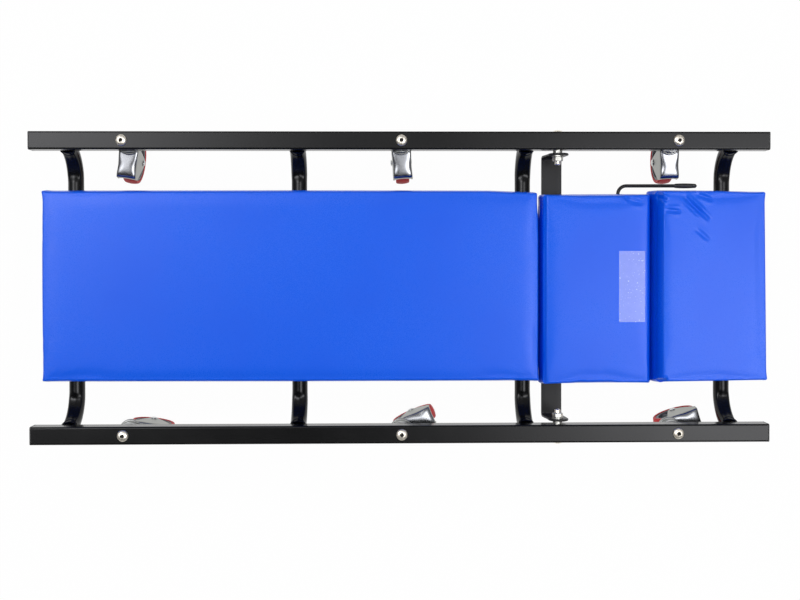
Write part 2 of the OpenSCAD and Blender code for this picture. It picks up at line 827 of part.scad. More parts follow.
rail(1);  // left_rail
rail(-1);  // right_rail
rail_end_caps();
for (tube = CROSS_TUBES)
    cross_tube(tube[1], tube[2]);
main_board();
main_cushion();
main_board_screws();
caster_bolts();
caster_nuts();
caster_races();
hinge_bolts();
hinge_sleeves();
hinge_washers();
hinge_nuts();
hinge_bar();
head_board();
head_board_screws();
head_cushion(neck_x, neck_shift, neck_side);  // neck_cushion
head_cushion(pillow_x, pillow_shift, pillow_side);  // pillow_cushion
prop_rod();
prop_grip();
prop_clips();
prop_clip_screws();
prop_rack();
for (caster = CASTERS) {
    fork(caster);
    axle(caster);
    hub(caster);
    tread(caster);
}
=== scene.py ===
"""Looks of the mechanic creeper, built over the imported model.

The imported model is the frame: two square rails on six swivel casters, four dropped cross tubes, a padded
board and a padded headrest on a hinge bar. This script gives every node its finish, replaces the plain
solids of the cushions, casters, tubes, bolts and wire with modelled surfaces, and sets up the studio.
Lengths are in metres in the model's own axes: +X to the head end, +Y to the left side and +Z up.
"""

from __future__ import annotations

import json
import logging
import math
from collections.abc import Callable
from dataclasses import dataclass, field
from enum import Enum
from functools import lru_cache, reduce
from typing import Any

import bmesh
import bpy
import numpy as np
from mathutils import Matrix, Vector
from mathutils.bvhtree import BVHTree

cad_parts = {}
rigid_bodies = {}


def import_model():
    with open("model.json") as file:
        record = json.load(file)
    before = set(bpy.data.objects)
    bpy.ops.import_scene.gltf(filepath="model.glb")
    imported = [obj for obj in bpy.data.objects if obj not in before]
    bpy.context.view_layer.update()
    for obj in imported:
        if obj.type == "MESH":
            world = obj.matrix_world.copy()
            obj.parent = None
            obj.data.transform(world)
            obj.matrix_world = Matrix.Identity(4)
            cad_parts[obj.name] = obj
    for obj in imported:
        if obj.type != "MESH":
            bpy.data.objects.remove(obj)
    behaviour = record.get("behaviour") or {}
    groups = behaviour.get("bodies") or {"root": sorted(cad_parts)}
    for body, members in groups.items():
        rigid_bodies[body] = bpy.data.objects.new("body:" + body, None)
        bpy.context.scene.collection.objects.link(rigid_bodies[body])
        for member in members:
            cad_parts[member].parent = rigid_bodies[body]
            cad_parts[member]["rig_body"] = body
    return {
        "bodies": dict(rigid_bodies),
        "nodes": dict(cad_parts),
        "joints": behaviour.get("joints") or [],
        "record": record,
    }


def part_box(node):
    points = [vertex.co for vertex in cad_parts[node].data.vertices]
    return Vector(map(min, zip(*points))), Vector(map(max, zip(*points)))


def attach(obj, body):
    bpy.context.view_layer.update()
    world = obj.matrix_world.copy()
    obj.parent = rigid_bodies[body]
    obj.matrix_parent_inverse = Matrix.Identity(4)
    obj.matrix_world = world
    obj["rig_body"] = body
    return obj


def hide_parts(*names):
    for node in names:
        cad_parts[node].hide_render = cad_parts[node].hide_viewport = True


MM = 0.001
UP = np.array([0.0, 0.0, 1.0])
LOG = logging.getLogger("creeper")
Grid = np.ndarray
Colour = tuple[float, float, float]
Point = tuple[float, float, float]
# Points nearer than MERGED become one, and edges shorter than SLIVER go.
MERGED = 2e-6
SLIVER = 1e-7
# Attributes of the vertices that a finish reads.
# This attribute marks the points inside bolt sockets, where the finish paints shade.
SOCKET_SHADE = "recess"
POLISH = "polish"


# Shapes


def ease(low: float, high: float, value: Grid) -> Grid:
    """Rises smoothly from 0 at low to 1 at high, by 3t^2 - 2t^3."""
    t = np.clip((value - low) / (high - low), 0.0, 1.0)
    return t * t * (3.0 - 2.0 * t)


def spots(*parts: Grid | float) -> Grid:
    """Points from their coordinates, each a number or a grid."""
    return np.stack(np.broadcast_arrays(*parts), axis=-1)


def full_turn(count: int) -> Grid:
    """Even angles once round, without the last."""
    return np.linspace(0.0, 2.0 * np.pi, count, endpoint=False)


def run_of(line: Grid) -> Grid:
    """Distance along a line at each of its points."""
    return np.concatenate([[0.0], np.cumsum(np.linalg.norm(np.diff(line, axis=0), axis=1))])


def at_run(line: Grid, places: Grid | float, values: Grid | None = None) -> Grid:
    """A line's points, or other values that go with them, at distances along it."""
    columns = (line if values is None else values).T
    return np.stack([np.interp(places, run_of(line), column) for column in columns], axis=-1)


class Reading(Enum):
    """What is read from the vertices of a mesh, by Blender's name for it."""

    PLACE = "co"
    NORMAL = "normal"


def of_vertices(mesh: bpy.types.Mesh, what: Reading = Reading.PLACE) -> Grid:
    """The place or the normal of each vertex.

    Args:
        mesh: The mesh to read.
        what: Which of the two.

    Returns:
        Three numbers for each vertex.
    """
    flat = np.empty(len(mesh.vertices) * 3, np.float32)
    mesh.vertices.foreach_get(what.value, flat)
    return flat.reshape(-1, 3)


def mark(mesh: bpy.types.Mesh, name: str, values: Grid | float) -> None:
    """Gives each vertex a number that a finish reads."""
    layer = mesh.attributes.new(name, "FLOAT", "POINT")
    layer.data.foreach_set("value", np.broadcast_to(values, len(mesh.vertices)).astype(np.float32))


def turned(profile: Grid, sides: int = 48) -> Grid:
    """Turns a profile about Z: x = r cos a, y = r sin a, z = h, with the angle a once round.

    Args:
        profile: Pairs of radius and height, or for a radius that changes round the axis an array of
            rows, sides and the pair.
        sides: Points in one turn.

    Returns:
        A grid of points with one row for each pair.
    """
    angle = full_turn(sides)
    pairs = np.asarray(profile, float)
    if pairs.ndim == 2:
        pairs = np.repeat(pairs[:, None, :], sides, axis=1)
    radius, height = pairs[..., 0], pairs[..., 1]
    return spots(radius * np.cos(angle), radius * np.sin(angle), height)


def hexagon_radius(flats: float, sides: int) -> Grid:
    """Radius of a hexagon at evenly spaced angles: half the flats over cos of the angle from a flat."""
    from_flat = np.mod(full_turn(sides), np.pi / 3.0) - np.pi / 6.0
    return 0.5 * flats / np.cos(from_flat)


def along_y(points: Grid) -> Grid:
    """Tips a shape made along +Z so that it points along +Y: (x, y, z) goes to (x, z, -y)."""
    return spots(points[..., 0], points[..., 2], -points[..., 1])


def swept(path: Grid, plane: Grid, radius: Grid) -> Grid:
    """Carries a round section along a path that lies in a plane.

    Each point is path + r (cos a N + sin a B). B is the plane's direction, N is B across the tangent,
    and the radius r may change along the path and round it.

    Args:
        path: Points along the middle line.
        plane: Unit direction square to the plane that holds the path.
        radius: Radius for each point of the path and each of the points round it.

    Returns:
        A grid with a row for each point of the path.
    """
    tangent = np.gradient(path, axis=0)
    tangent /= np.linalg.norm(tangent, axis=1, keepdims=True)
    across = np.broadcast_to(plane, tangent.shape)
    normal = np.cross(across, tangent)
    angle = full_turn(radius.shape[1])
    ring = np.cos(angle)[None, :, None] * normal[:, None, :] + np.sin(angle)[None, :, None] * across[:, None, :]
    return path[:, None, :] + radius[:, :, None] * ring


def bent_line(corners: Grid, bends: tuple[float, ...], step: float) -> Grid:
    """A line through corners that are rounded, each to its bend radius, with points about a step apart.

    Each corner's arc is centre + bend (cos a u + sin a v), where u points from the centre to the arc's
    start and v runs along the straight before it.

    Args:
        corners: The two ends of the line and the corners between them.
        bends: The bend radius at each corner.
        step: About how far apart the points are.

    Returns:
        Points at even distances along the line.
    """
    runs = np.diff(corners, axis=0)
    ahead = runs / np.linalg.norm(runs, axis=1, keepdims=True)
    pieces = [corners[:1]]
    for i in range(1, len(corners) - 1):
        before, after, bend = ahead[i - 1], ahead[i], bends[i - 1]
        turn = math.acos(float(np.clip(before @ after, -1.0, 1.0)))
        reach = bend * math.tan(turn / 2.0)
        start = corners[i] - reach * before
        side = after - (after @ before) * before
        side /= np.linalg.norm(side)
        angle = np.linspace(0.0, turn, max(3, int(turn * bend / step) + 2))[:, None]
        pieces.append(start + bend * (np.sin(angle) * before + (1.0 - np.cos(angle)) * side))
    pieces.append(corners[-1:])
    rough = np.vstack(pieces)
    length = run_of(rough)[-1]
    return at_run(rough, np.linspace(0.0, length, int(length / step) + 2))


class Skin:
    """Grids of points that together make one piece."""

    def __init__(self) -> None:
        """Starts with no points."""
        self._points: list[Grid] = []
        self._faces: list[Grid] = []
        self._count = 0

    def add(self, grid: Grid, closed_rows: bool = False, closed_columns: bool = False) -> Skin:
        """Adds the quads between neighbouring points of a grid.

        Args:
            grid: Points by row and column.
            closed_rows: Joins the last row to the first.
            closed_columns: Joins the last column to the first.

        Returns:
            This skin, so that calls can follow each other.
        """
        rows, columns = grid.shape[:2]
        index = np.arange(rows * columns).reshape(rows, columns) + self._count
        if closed_rows:
            index = np.vstack([index, index[:1]])
        if closed_columns:
            index = np.hstack([index, index[:, :1]])
        corners = [index[:-1, :-1], index[:-1, 1:], index[1:, 1:], index[1:, :-1]]
        self._faces.append(np.stack(corners, axis=-1).reshape(-1, 4))
        self._points.append(grid.reshape(-1, 3))
        self._count += rows * columns
        return self

    def mesh(self, name: str, outward: bool = True, sharp: float = 35.0) -> bpy.types.Mesh:
        """Makes the mesh, with doubles merged and edges sharp past an angle.

        Args:
            name: The mesh's name.
            outward: Turns the faces of closed shells outwards.
            sharp: Angle in degrees past which an edge is drawn sharp.

        Returns:
            The new mesh.
        """
        made = bpy.data.meshes.new(name)
        made.from_pydata(np.vstack(self._points).tolist(), [], np.vstack(self._faces).tolist())
        work = bmesh.new()
        work.from_mesh(made)
        bmesh.ops.remove_doubles(work, verts=work.verts, dist=MERGED)
        bmesh.ops.dissolve_degenerate(work, edges=work.edges, dist=SLIVER)
        if outward:
            bmesh.ops.recalc_face_normals(work, faces=work.faces)
        work.to_mesh(made)
        work.free()
        made.polygons.foreach_set("use_smooth", np.ones(len(made.polygons), bool))
        made.set_sharp_from_angle(angle=math.radians(sharp))
        return made


# Shader maths


def arithmetic(operation: str, swapped: bool = False) -> Callable[[Wire, Wire | float], Wire]:
    """The method of one sign: it adds a Math node on a wire and a value, or with the two swapped.

    Args:
        operation: The Math node's operation.
        swapped: Puts the value before the wire, as a reflected sign does.

    Returns:
        The method.
    """

    def method(wire: Wire, other: Wire | float) -> Wire:
        """Adds the node."""
        return wire.board.math(operation, *((other, wire) if swapped else (wire, other)))

    return method


class Wire:
    """A shader socket whose arithmetic adds Math nodes."""

    def __init__(self, board: ShaderBoard, socket: bpy.types.NodeSocket) -> None:
        """Keeps the socket and the board that it is on."""
        self.board = board
        self.socket = socket

    __add__ = arithmetic("ADD")
    __radd__ = arithmetic("ADD", swapped=True)
    __sub__ = arithmetic("SUBTRACT")
    __rsub__ = arithmetic("SUBTRACT", swapped=True)
    __mul__ = arithmetic("MULTIPLY")
    __rmul__ = arithmetic("MULTIPLY", swapped=True)
    __truediv__ = arithmetic("DIVIDE")

    def rise(self, low: float, high: float) -> Wire:
        """Rises smoothly from 0 at low to 1 at high."""
        inputs = {"Value": self, "From Min": low, "From Max": high}
        return self.board.out("ShaderNodeMapRange", inputs, interpolation_type="SMOOTHSTEP")


class ShaderBoard:
    """The nodes of one material or of the world."""

    def __init__(self, tree: bpy.types.NodeTree) -> None:
        """Empties the tree."""
        self.tree = tree
        tree.nodes.clear()

    def node(self, kind: str, inputs: dict[Any, Any] | None = None, **settings: Any) -> bpy.types.Node:
        """Adds a node.

        Args:
            kind: The node's type.
            inputs: A value or a wire for each named or numbered socket.
            settings: Its own settings, set first.

        Returns:
            The node.
        """
        made = self.tree.nodes.new(kind)
        for name, value in settings.items():
            setattr(made, name, value)
        for name, value in (inputs or {}).items():
            if isinstance(value, Wire):
                self.tree.links.new(value.socket, made.inputs[name])
            else:
                made.inputs[name].default_value = value
        return made

    def out(self, kind: str, inputs: dict[Any, Any] | None = None, output: Any = 0, **settings: Any) -> Wire:
        """Adds a node and gives one of its outputs."""
        return Wire(self, self.node(kind, inputs, **settings).outputs[output])

    def math(self, operation: str, *values: Wire | float) -> Wire:
        """Adds a Math node on one to three values."""
        return self.out("ShaderNodeMath", dict(enumerate(values)), operation=operation)

    def place(self, stretch: Point = (1.0, 1.0, 1.0)) -> Wire:
        """Object coordinates, stretched along the axes."""
        place = self.out("ShaderNodeTexCoord", output="Object")
        return self.out("ShaderNodeMapping", {"Vector": place, "Scale": stretch})

    def noise(self, scale: float, detail: float = 2.0, place: Wire | None = None, rough: float = 0.5) -> Wire:
        """Soft noise from 0 to 1, with a number of lumps to the metre."""
        inputs = {"Vector": place or self.place(), "Scale": scale, "Detail": detail, "Roughness": rough}
        return self.out("ShaderNodeTexNoise", inputs)

    def mark(self, name: str) -> Wire:
        """The number that a mesh gives its vertices under a name."""
        return self.out("ShaderNodeAttribute", output="Fac", attribute_name=name)

    def mix(self, share: Wire | float, first: Wire | Colour, second: Wire | Colour) -> Wire:
        """Blends two colours.

        Args:
            share: How much of the second colour there is, from 0 to 1.
            first: The colour at 0.
            second: The colour at 1.

        Returns:
            The blend.
        """
        inputs = {0: share}
        for number, colour in ((6, first), (7, second)):
            inputs[number] = colour if isinstance(colour, Wire) else (*colour, 1.0)
        return self.out("ShaderNodeMix", inputs, output=2, data_type="RGBA")

    def bump(self, height: Wire, depth: float, strength: float = 1.0, normal: Wire | None = None) -> Wire:
        """Turns a height from 0 to 1 into a tilted normal, for a real depth.

        Args:
            height: The height, from 0 to 1.
            depth: What 1 stands for, in metres.
            strength: How much of the tilt is used.
            normal: A normal that is tilted already.

        Returns:
            The normal.
        """
        inputs = {"Height": height, "Distance": depth, "Strength": strength}
        if normal is not None:
            inputs["Normal"] = normal
        return self.out("ShaderNodeBump", inputs)

    def surface(self, inputs: dict[str, Any]) -> Wire:
        """Adds the main shader."""
        return self.out("ShaderNodeBsdfPrincipled", inputs)

    def end(self, shader: Wire, kind: str = "ShaderNodeOutputMaterial") -> None:
        """Joins a shader to the output."""
        self.node(kind, {"Surface": shader})


# Finishes


@dataclass(frozen=True)
class Finish:
    """What every finish has: its name and the record's slot that it stands for."""

    name: str
    slot: str

    def paint(self, board: ShaderBoard) -> Wire:
        """Makes the shader. Each kind of finish has its own."""
        raise NotImplementedError


@dataclass(frozen=True)
class PowderCoat(Finish):
    """Baked powder paint: fine orange peel, small changes of gloss and a little dust."""

    tone: Colour = (0.0034, 0.0035, 0.0037)
    dust: Colour = (0.014, 0.014, 0.0135)
    gloss: float = 0.19
    peel: float = 0.00002
    shine: float = 0.22

    def paint(self, board: ShaderBoard) -> Wire:
        """Peel is noise of about 1.4 mm, and gloss and dust follow slower noise.

        Args:
            board: The nodes of the material.

        Returns:
            The shader.
        """
        peel = board.noise(700.0, 3.0)
        cloud = board.noise(14.0, 4.0)
        specks = board.noise(2600.0, 1.0).rise(0.7, 0.82)
        colour = board.mix(cloud.rise(0.5, 0.9) * 0.35 + specks * 0.25, self.tone, self.dust)
        return board.surface({
            "Base Color": colour,
            "Roughness": self.gloss - 0.05 + cloud * 0.10,
            "Normal": board.bump(peel, self.peel),
            "Specular IOR Level": self.shine,
        })


@dataclass(frozen=True)
class PlatedSteel(Finish):
    """Zinc, nickel or chrome on steel, with faint stains, fine marks and painted shade inside bolt sockets."""

    tone: Colour = (0.6, 0.6, 0.58)
    shade: Colour = (0.35, 0.35, 0.33)
    gloss: float = 0.34
    marks: float = 0.00001
    # Colour of the painted shade inside bolt sockets.
    painted_socket_shade: Colour = (0.012, 0.010, 0.008)

    def paint(self, board: ShaderBoard) -> Wire:
        """Slow noise stains the metal, fine noise marks it, and the marked socket points get painted shade: dark, not
        metallic and rougher.

        Args:
            board: The nodes of the material.

        Returns:
            The shader.
        """
        stain = board.noise(60.0, 5.0).rise(0.45, 0.8)
        fine = board.noise(3000.0, 2.0)
        # Painted shade: the marked socket points turn dark, lose their metal and get rougher.
        recess = board.mark(SOCKET_SHADE)
        metal = board.mix(stain * 0.6, self.tone, self.shade)
        return board.surface({
            "Base Color": board.mix(recess, metal, self.painted_socket_shade),
            "Metallic": 1.0 - recess,
            "Roughness": self.gloss + stain * 0.12 + fine * 0.04 + recess * 0.3,
            "Normal": board.bump(fine, self.marks),
        })


@dataclass(frozen=True)
class PressedFork(Finish):
    """Polished plating on the hood, and dull zinc on the legs. The polish attribute says which."""

    bright: Colour = (0.29, 0.297, 0.31)
    dull: Colour = (0.30, 0.305, 0.285)
    gloss: float = 0.21

    def paint(self, board: ShaderBoard) -> Wire:
        """Stains are noise of about 11 mm, and they spread the edge between polished and dull.

        Args:
            board: The nodes of the material.

        Returns:
            The shader.
        """
        stain = board.noise(90.0, 5.0)
        polish = (board.mark(POLISH) + (stain - 0.5) * 0.5).rise(0.3, 0.75)
        fine = board.noise(2200.0, 3.0)
        return board.surface({
            "Base Color": board.mix(polish, self.dull, self.bright),
            "Metallic": 1.0,
            "Roughness": 0.36 - polish * (0.36 - self.gloss) + stain.rise(0.5, 0.85) * 0.06,
            "Normal": board.bump(fine, 0.000012),
        })


@dataclass(frozen=True)
class Vinyl(Finish):
    """Blue vinyl cover: fine leather grain over a faint woven backing."""

    tone: Colour = (0.002, 0.107, 0.80)
    deep: Colour = (0.002, 0.095, 0.76)
    gloss: float = 0.26
    shine: float = 0.34
    grain: float = 0.00005
    weave: float = 0.000012

    def paint(self, board: ShaderBoard) -> Wire:
        """Grain is cells of about 1 mm, and the backing shows as two crossed waves 2 mm apart.

        Args:
            board: The nodes of the material.

        Returns:
            The shader.
        """
        place = board.place()
        cells = board.out("ShaderNodeTexVoronoi", {"Vector": place, "Scale": 900.0}, feature="SMOOTH_F1")
        wave = {"Vector": place, "Scale": 160.0, "Distortion": 0.6}
        threads = [board.out("ShaderNodeTexWave", wave, bands_direction=axis) for axis in ("X", "Y")]
        cloud = board.noise(7.0, 3.0)
        grain = board.bump(cells, self.grain)
        return board.surface({
            "Base Color": board.mix(cloud.rise(0.3, 0.8), self.tone, self.deep),
            "Roughness": self.gloss - 0.03 + cloud * 0.06 + cells * 0.05,
            "Normal": board.bump(threads[0] + threads[1], self.weave, normal=grain),
            "Specular IOR Level": self.shine,
        })


@dataclass(frozen=True)
class Moulded(Finish):
    """Moulded plastic or rubber with a fine matt texture."""

    tone: Colour = (0.02, 0.02, 0.02)
    worn: Colour = (0.06, 0.06, 0.06)
    gloss: float = 0.5
    texture: float = 0.00003

    def paint(self, board: ShaderBoard) -> Wire:
        """Fine noise textures the surface, and slow noise shows where it is rubbed.

        Args:
            board: The nodes of the material.

        Returns:
            The shader.
        """
        fine = board.noise(1500.0, 3.0)
        rubbed = board.noise(45.0, 4.0).rise(0.5, 0.85)
        return board.surface({
            "Base Color": board.mix(rubbed * 0.5, self.tone, self.worn),
            "Roughness": self.gloss + fine * 0.1 - rubbed * 0.06,
            "Normal": board.bump(fine, self.texture),
        })


@dataclass(frozen=True)
class Plywood(Finish):
    """Birch plywood: long grain on the faces and thin veneers along the edges."""

    light: Colour = (0.56, 0.36, 0.19)
    dark: Colour = (0.34, 0.19, 0.09)
    veneer: float = 0.0015

    def paint(self, board: ShaderBoard) -> Wire:
        """Grain is noise stretched along X, and each veneer of the edge turns light or dark with height.

        Args:
            board: The nodes of the material.

        Returns:
            The shader.
        """
        grain = board.noise(30.0, 6.0, board.place((0.4, 6.0, 6.0)), 0.65)
        height = board.out("ShaderNodeSeparateXYZ", {0: board.place()}, output="Z")
        layer = board.math("PINGPONG", height, self.veneer) / self.veneer
        knots = board.noise(9.0, 2.0, board.place((1.0, 3.0, 1.0))).rise(0.68, 0.8)
        share = grain.rise(0.35, 0.7) * 0.6 + layer * 0.25 + knots * 0.3
        return board.surface({
            "Base Color": board.mix(share, self.light, self.dark),
            "Roughness": 0.62 + grain * 0.15,
            "Normal": board.bump(grain, 0.00012),
        })


@dataclass(frozen=True)
class ClearFilm(Finish):
    """Blank clear film, a little milky, with a few small bubbles."""

    milk: Colour = (0.72, 0.78, 0.95)
    veil: float = 0.30

    def paint(self, board: ShaderBoard) -> Wire:
        """Bubbles are the tops of fine noise, and they veil the vinyl more than the rest of the film.

        Args:
            board: The nodes of the material.

        Returns:
            The shader.
        """
        bubbles = board.noise(420.0, 2.0).rise(0.66, 0.74)
        ripple = board.noise(120.0, 2.0)
        return board.surface({
            "Base Color": board.mix(bubbles, self.milk, (1.0, 1.0, 1.0)),
            "Alpha": self.veil + bubbles * 0.5 + ripple * 0.06,
            "Roughness": 0.16 + ripple * 0.1,
            "Normal": board.bump(ripple, 0.0002),
        })


BLACK_PAINT = PowderCoat("black_paint", "black_paint")
BLACK_BAR = PowderCoat("black_bar", "black_bar", tone=(0.017, 0.017, 0.0172), gloss=0.42)
BLACK_WIRE = PowderCoat("black_wire", "black_wire", tone=(0.009, 0.009, 0.0092), gloss=0.3)
BLACK_DIP = Moulded("black_dip", "black_dip", tone=(0.012, 0.012, 0.013), worn=(0.03, 0.03, 0.03), gloss=0.42)
BLACK_PLUG = Moulded("black_plug", "black_plug", tone=(0.01, 0.01, 0.01), worn=(0.03, 0.03, 0.03), gloss=0.5)
PLYWOOD = Plywood("plywood", "plywood")
BLUE_VINYL = Vinyl("blue_vinyl", "blue_vinyl")
NICKEL = PlatedSteel("nickel_bolt", "nickel_bolt", tone=(0.93, 0.88, 0.77), shade=(0.7, 0.62, 0.5))
ZINC = PlatedSteel("zinc", "zinc", tone=(0.62, 0.63, 0.62), shade=(0.42, 0.43, 0.42))
BRIGHT_ZINC = PlatedSteel("bright_zinc", "zinc", tone=(0.5, 0.5, 0.46), shade=(0.34, 0.34, 0.31))
FORK_PLATING = PressedFork("fork_chrome", "fork_chrome")
GREY_HUB = Moulded("grey_hub", "grey_hub", tone=(0.16, 0.165, 0.17), worn=(0.24, 0.24, 0.24), gloss=0.45)
RED_TREAD = Moulded("red_tread", "red_tread", tone=(0.66, 0.014, 0.018), worn=(0.5, 0.02, 0.022), gloss=0.5)
CLEAR_FILM = ClearFilm("clear_film", "")


@lru_cache(maxsize=None)
def material(finish: Finish) -> bpy.types.Material:
    """The one material of a finish.

    Args:
        finish: Any of the finishes above.

    Returns:
        The same material at every call.
    """
    made = bpy.data.materials.new(finish.name)
    made.use_nodes = True
    board = ShaderBoard(made.node_tree)
    board.end(finish.paint(board))
    return made


# The model's own places


@dataclass(frozen=True)
class Extent:
    """The box of one node of the model."""

    low: Vector
    high: Vector

    @classmethod
    def of(cls, node: str) -> Extent:
        """Reads a node's box."""
        low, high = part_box(node)
        return cls(low, high)

    @property
    def middle(self) -> Vector:
        """The middle of the box."""
        return (self.low + self.high) / 2.0

    @property
    def size(self) -> Vector:
        """Its lengths along the axes."""
        return self.high - self.low


@dataclass
class Model:
    """The loaded frame, and the pieces that are made over it."""

    nodes: dict[str, bpy.types.Object]
    joints: dict[str, dict[str, Any]]
    bodies: dict[str, str] = field(default_factory=dict)

    @classmethod
    def load(cls) -> Model:
        """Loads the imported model, and notes each node's body.

        Returns:
            The model.
        """
        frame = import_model()
        joints = {joint["name"]: joint for joint in frame["joints"]}
        bodies = {name: node["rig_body"] for name, node in frame["nodes"].items()}
        return cls(frame["nodes"], joints, bodies)

    def dress(self, finish: Finish, *names: str) -> None:
        """Gives nodes of the model a finish.

        Args:
            finish: What the nodes are made of.
            names: The nodes.
        """
        for name in names:
            node = self.nodes[name]
            node.data.materials.clear()
            node.data.materials.append(material(finish))
            LOG.info("dressed %s in %s", name, finish.name)

    def add(
        self, mesh: bpy.types.Mesh, finish: Finish, body: str, replaces: tuple[str, ...] = ()
    ) -> bpy.types.Object:
        """Makes a mesh a piece that rides on a body.

        Args:
            mesh: The finished mesh, in its place.
            finish: What it is made of.
            body: The body that carries it.
            replaces: Nodes of the model that it stands for.

        Returns:
            The new object.
        """
        made = bpy.data.objects.new(mesh.name, mesh)
        bpy.context.scene.collection.objects.link(made)
        mesh.materials.append(material(finish))
        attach(made, body)
        if replaces:
            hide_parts(*replaces)
        LOG.info("made %s with %d faces", made.name, len(mesh.polygons))
        return made

    def stand_in(self, skin: Skin, node: str, ending: str, finish: Finish, sharp: float = 35.0) -> None:
        """Makes a closed skin the piece that replaces a node and rides on its body."""
        self.add(skin.mesh(f"{node}_{ending}", sharp=sharp), finish, self.bodies[node], (node,))


# Fasteners


@dataclass(frozen=True)
class HexNut:
    """A plain hexagonal nut or bolt head with both rims chamfered."""

    flats: float
    height: float
    bore: float = 0.0
    chamfer: float = 0.0008
    sides: int = 72

    def surface(self) -> Grid:
        """The radius is the hexagon's, held inside a cone of 30 degrees at each rim.

        Returns:
            A grid of points, one turn to a row.
        """
        rise = self.chamfer * np.array([0.0, 0.2, 0.45, 0.75, 1.1, 1.5])
        heights = np.concatenate([rise, self.height - rise[::-1]])
        from_rim = np.minimum(heights, self.height - heights)
        cone = 0.5 * self.flats * 0.95 + from_rim / math.tan(math.radians(30.0))
        radius = np.minimum(hexagon_radius(self.flats, self.sides)[None, :], cone[:, None])
        wall = spots(radius, heights[:, None])
        rims = [np.full((1, self.sides, 2), (self.bore, height)) for height in (0.0, self.height)]
        return turned(np.vstack([rims[0], wall, rims[1]]), self.sides)


@dataclass(frozen=True)
class ButtonHead:
    """A button head with a hexagon socket, on its shank."""

    radius: float
    height: float
    socket: float
    depth: float
    shank: float
    reach: float
    crown: float = 2.6
    drill_depth: float = 0.6 * MM
    drill_share: float = 0.96
    skirt: float = 0.2 * MM
    sides: int = 72

    def surface(self) -> Grid:
        """From the socket's floor up its wall, over the dome h (1 - s^c)^0.5 to the rim and down the shank.

        Returns:
            A grid of points, one turn to a row.
        """
        hexagon = hexagon_radius(self.socket, self.sides)
        floor = self.height - self.depth
        share = np.linspace(0.0, 1.0, 18)[:, None]
        dome = hexagon[None, :] * (1.0 - share) + self.radius * share
        lift = self.height * np.sqrt(np.clip(1.0 - (dome / self.radius) ** self.crown, 0.0, 1.0))
        rows = [spots(hexagon * 0.0, floor - self.drill_depth)]
        rows += [spots(hexagon * self.drill_share, floor), spots(hexagon, lift[0])]
        rows += list(spots(dome, lift)[1:])
        rim, tip = -self.skirt, -self.reach
        shank = ((self.radius, rim), (self.shank, rim), (self.shank, tip), (0.0, tip - MM))
        rows += [np.full((self.sides, 2), pair) for pair in shank]
        return turned(np.array(rows), self.sides)


def dome_profile(radius: float, height: float, rows: int = 10) -> Grid:
    """A quarter ellipse from the rim to the pole, as radius and height."""
    angle = np.linspace(0.0, np.pi / 2.0, rows)
    return spots(radius * np.cos(angle), height * np.sin(angle))


# Frame


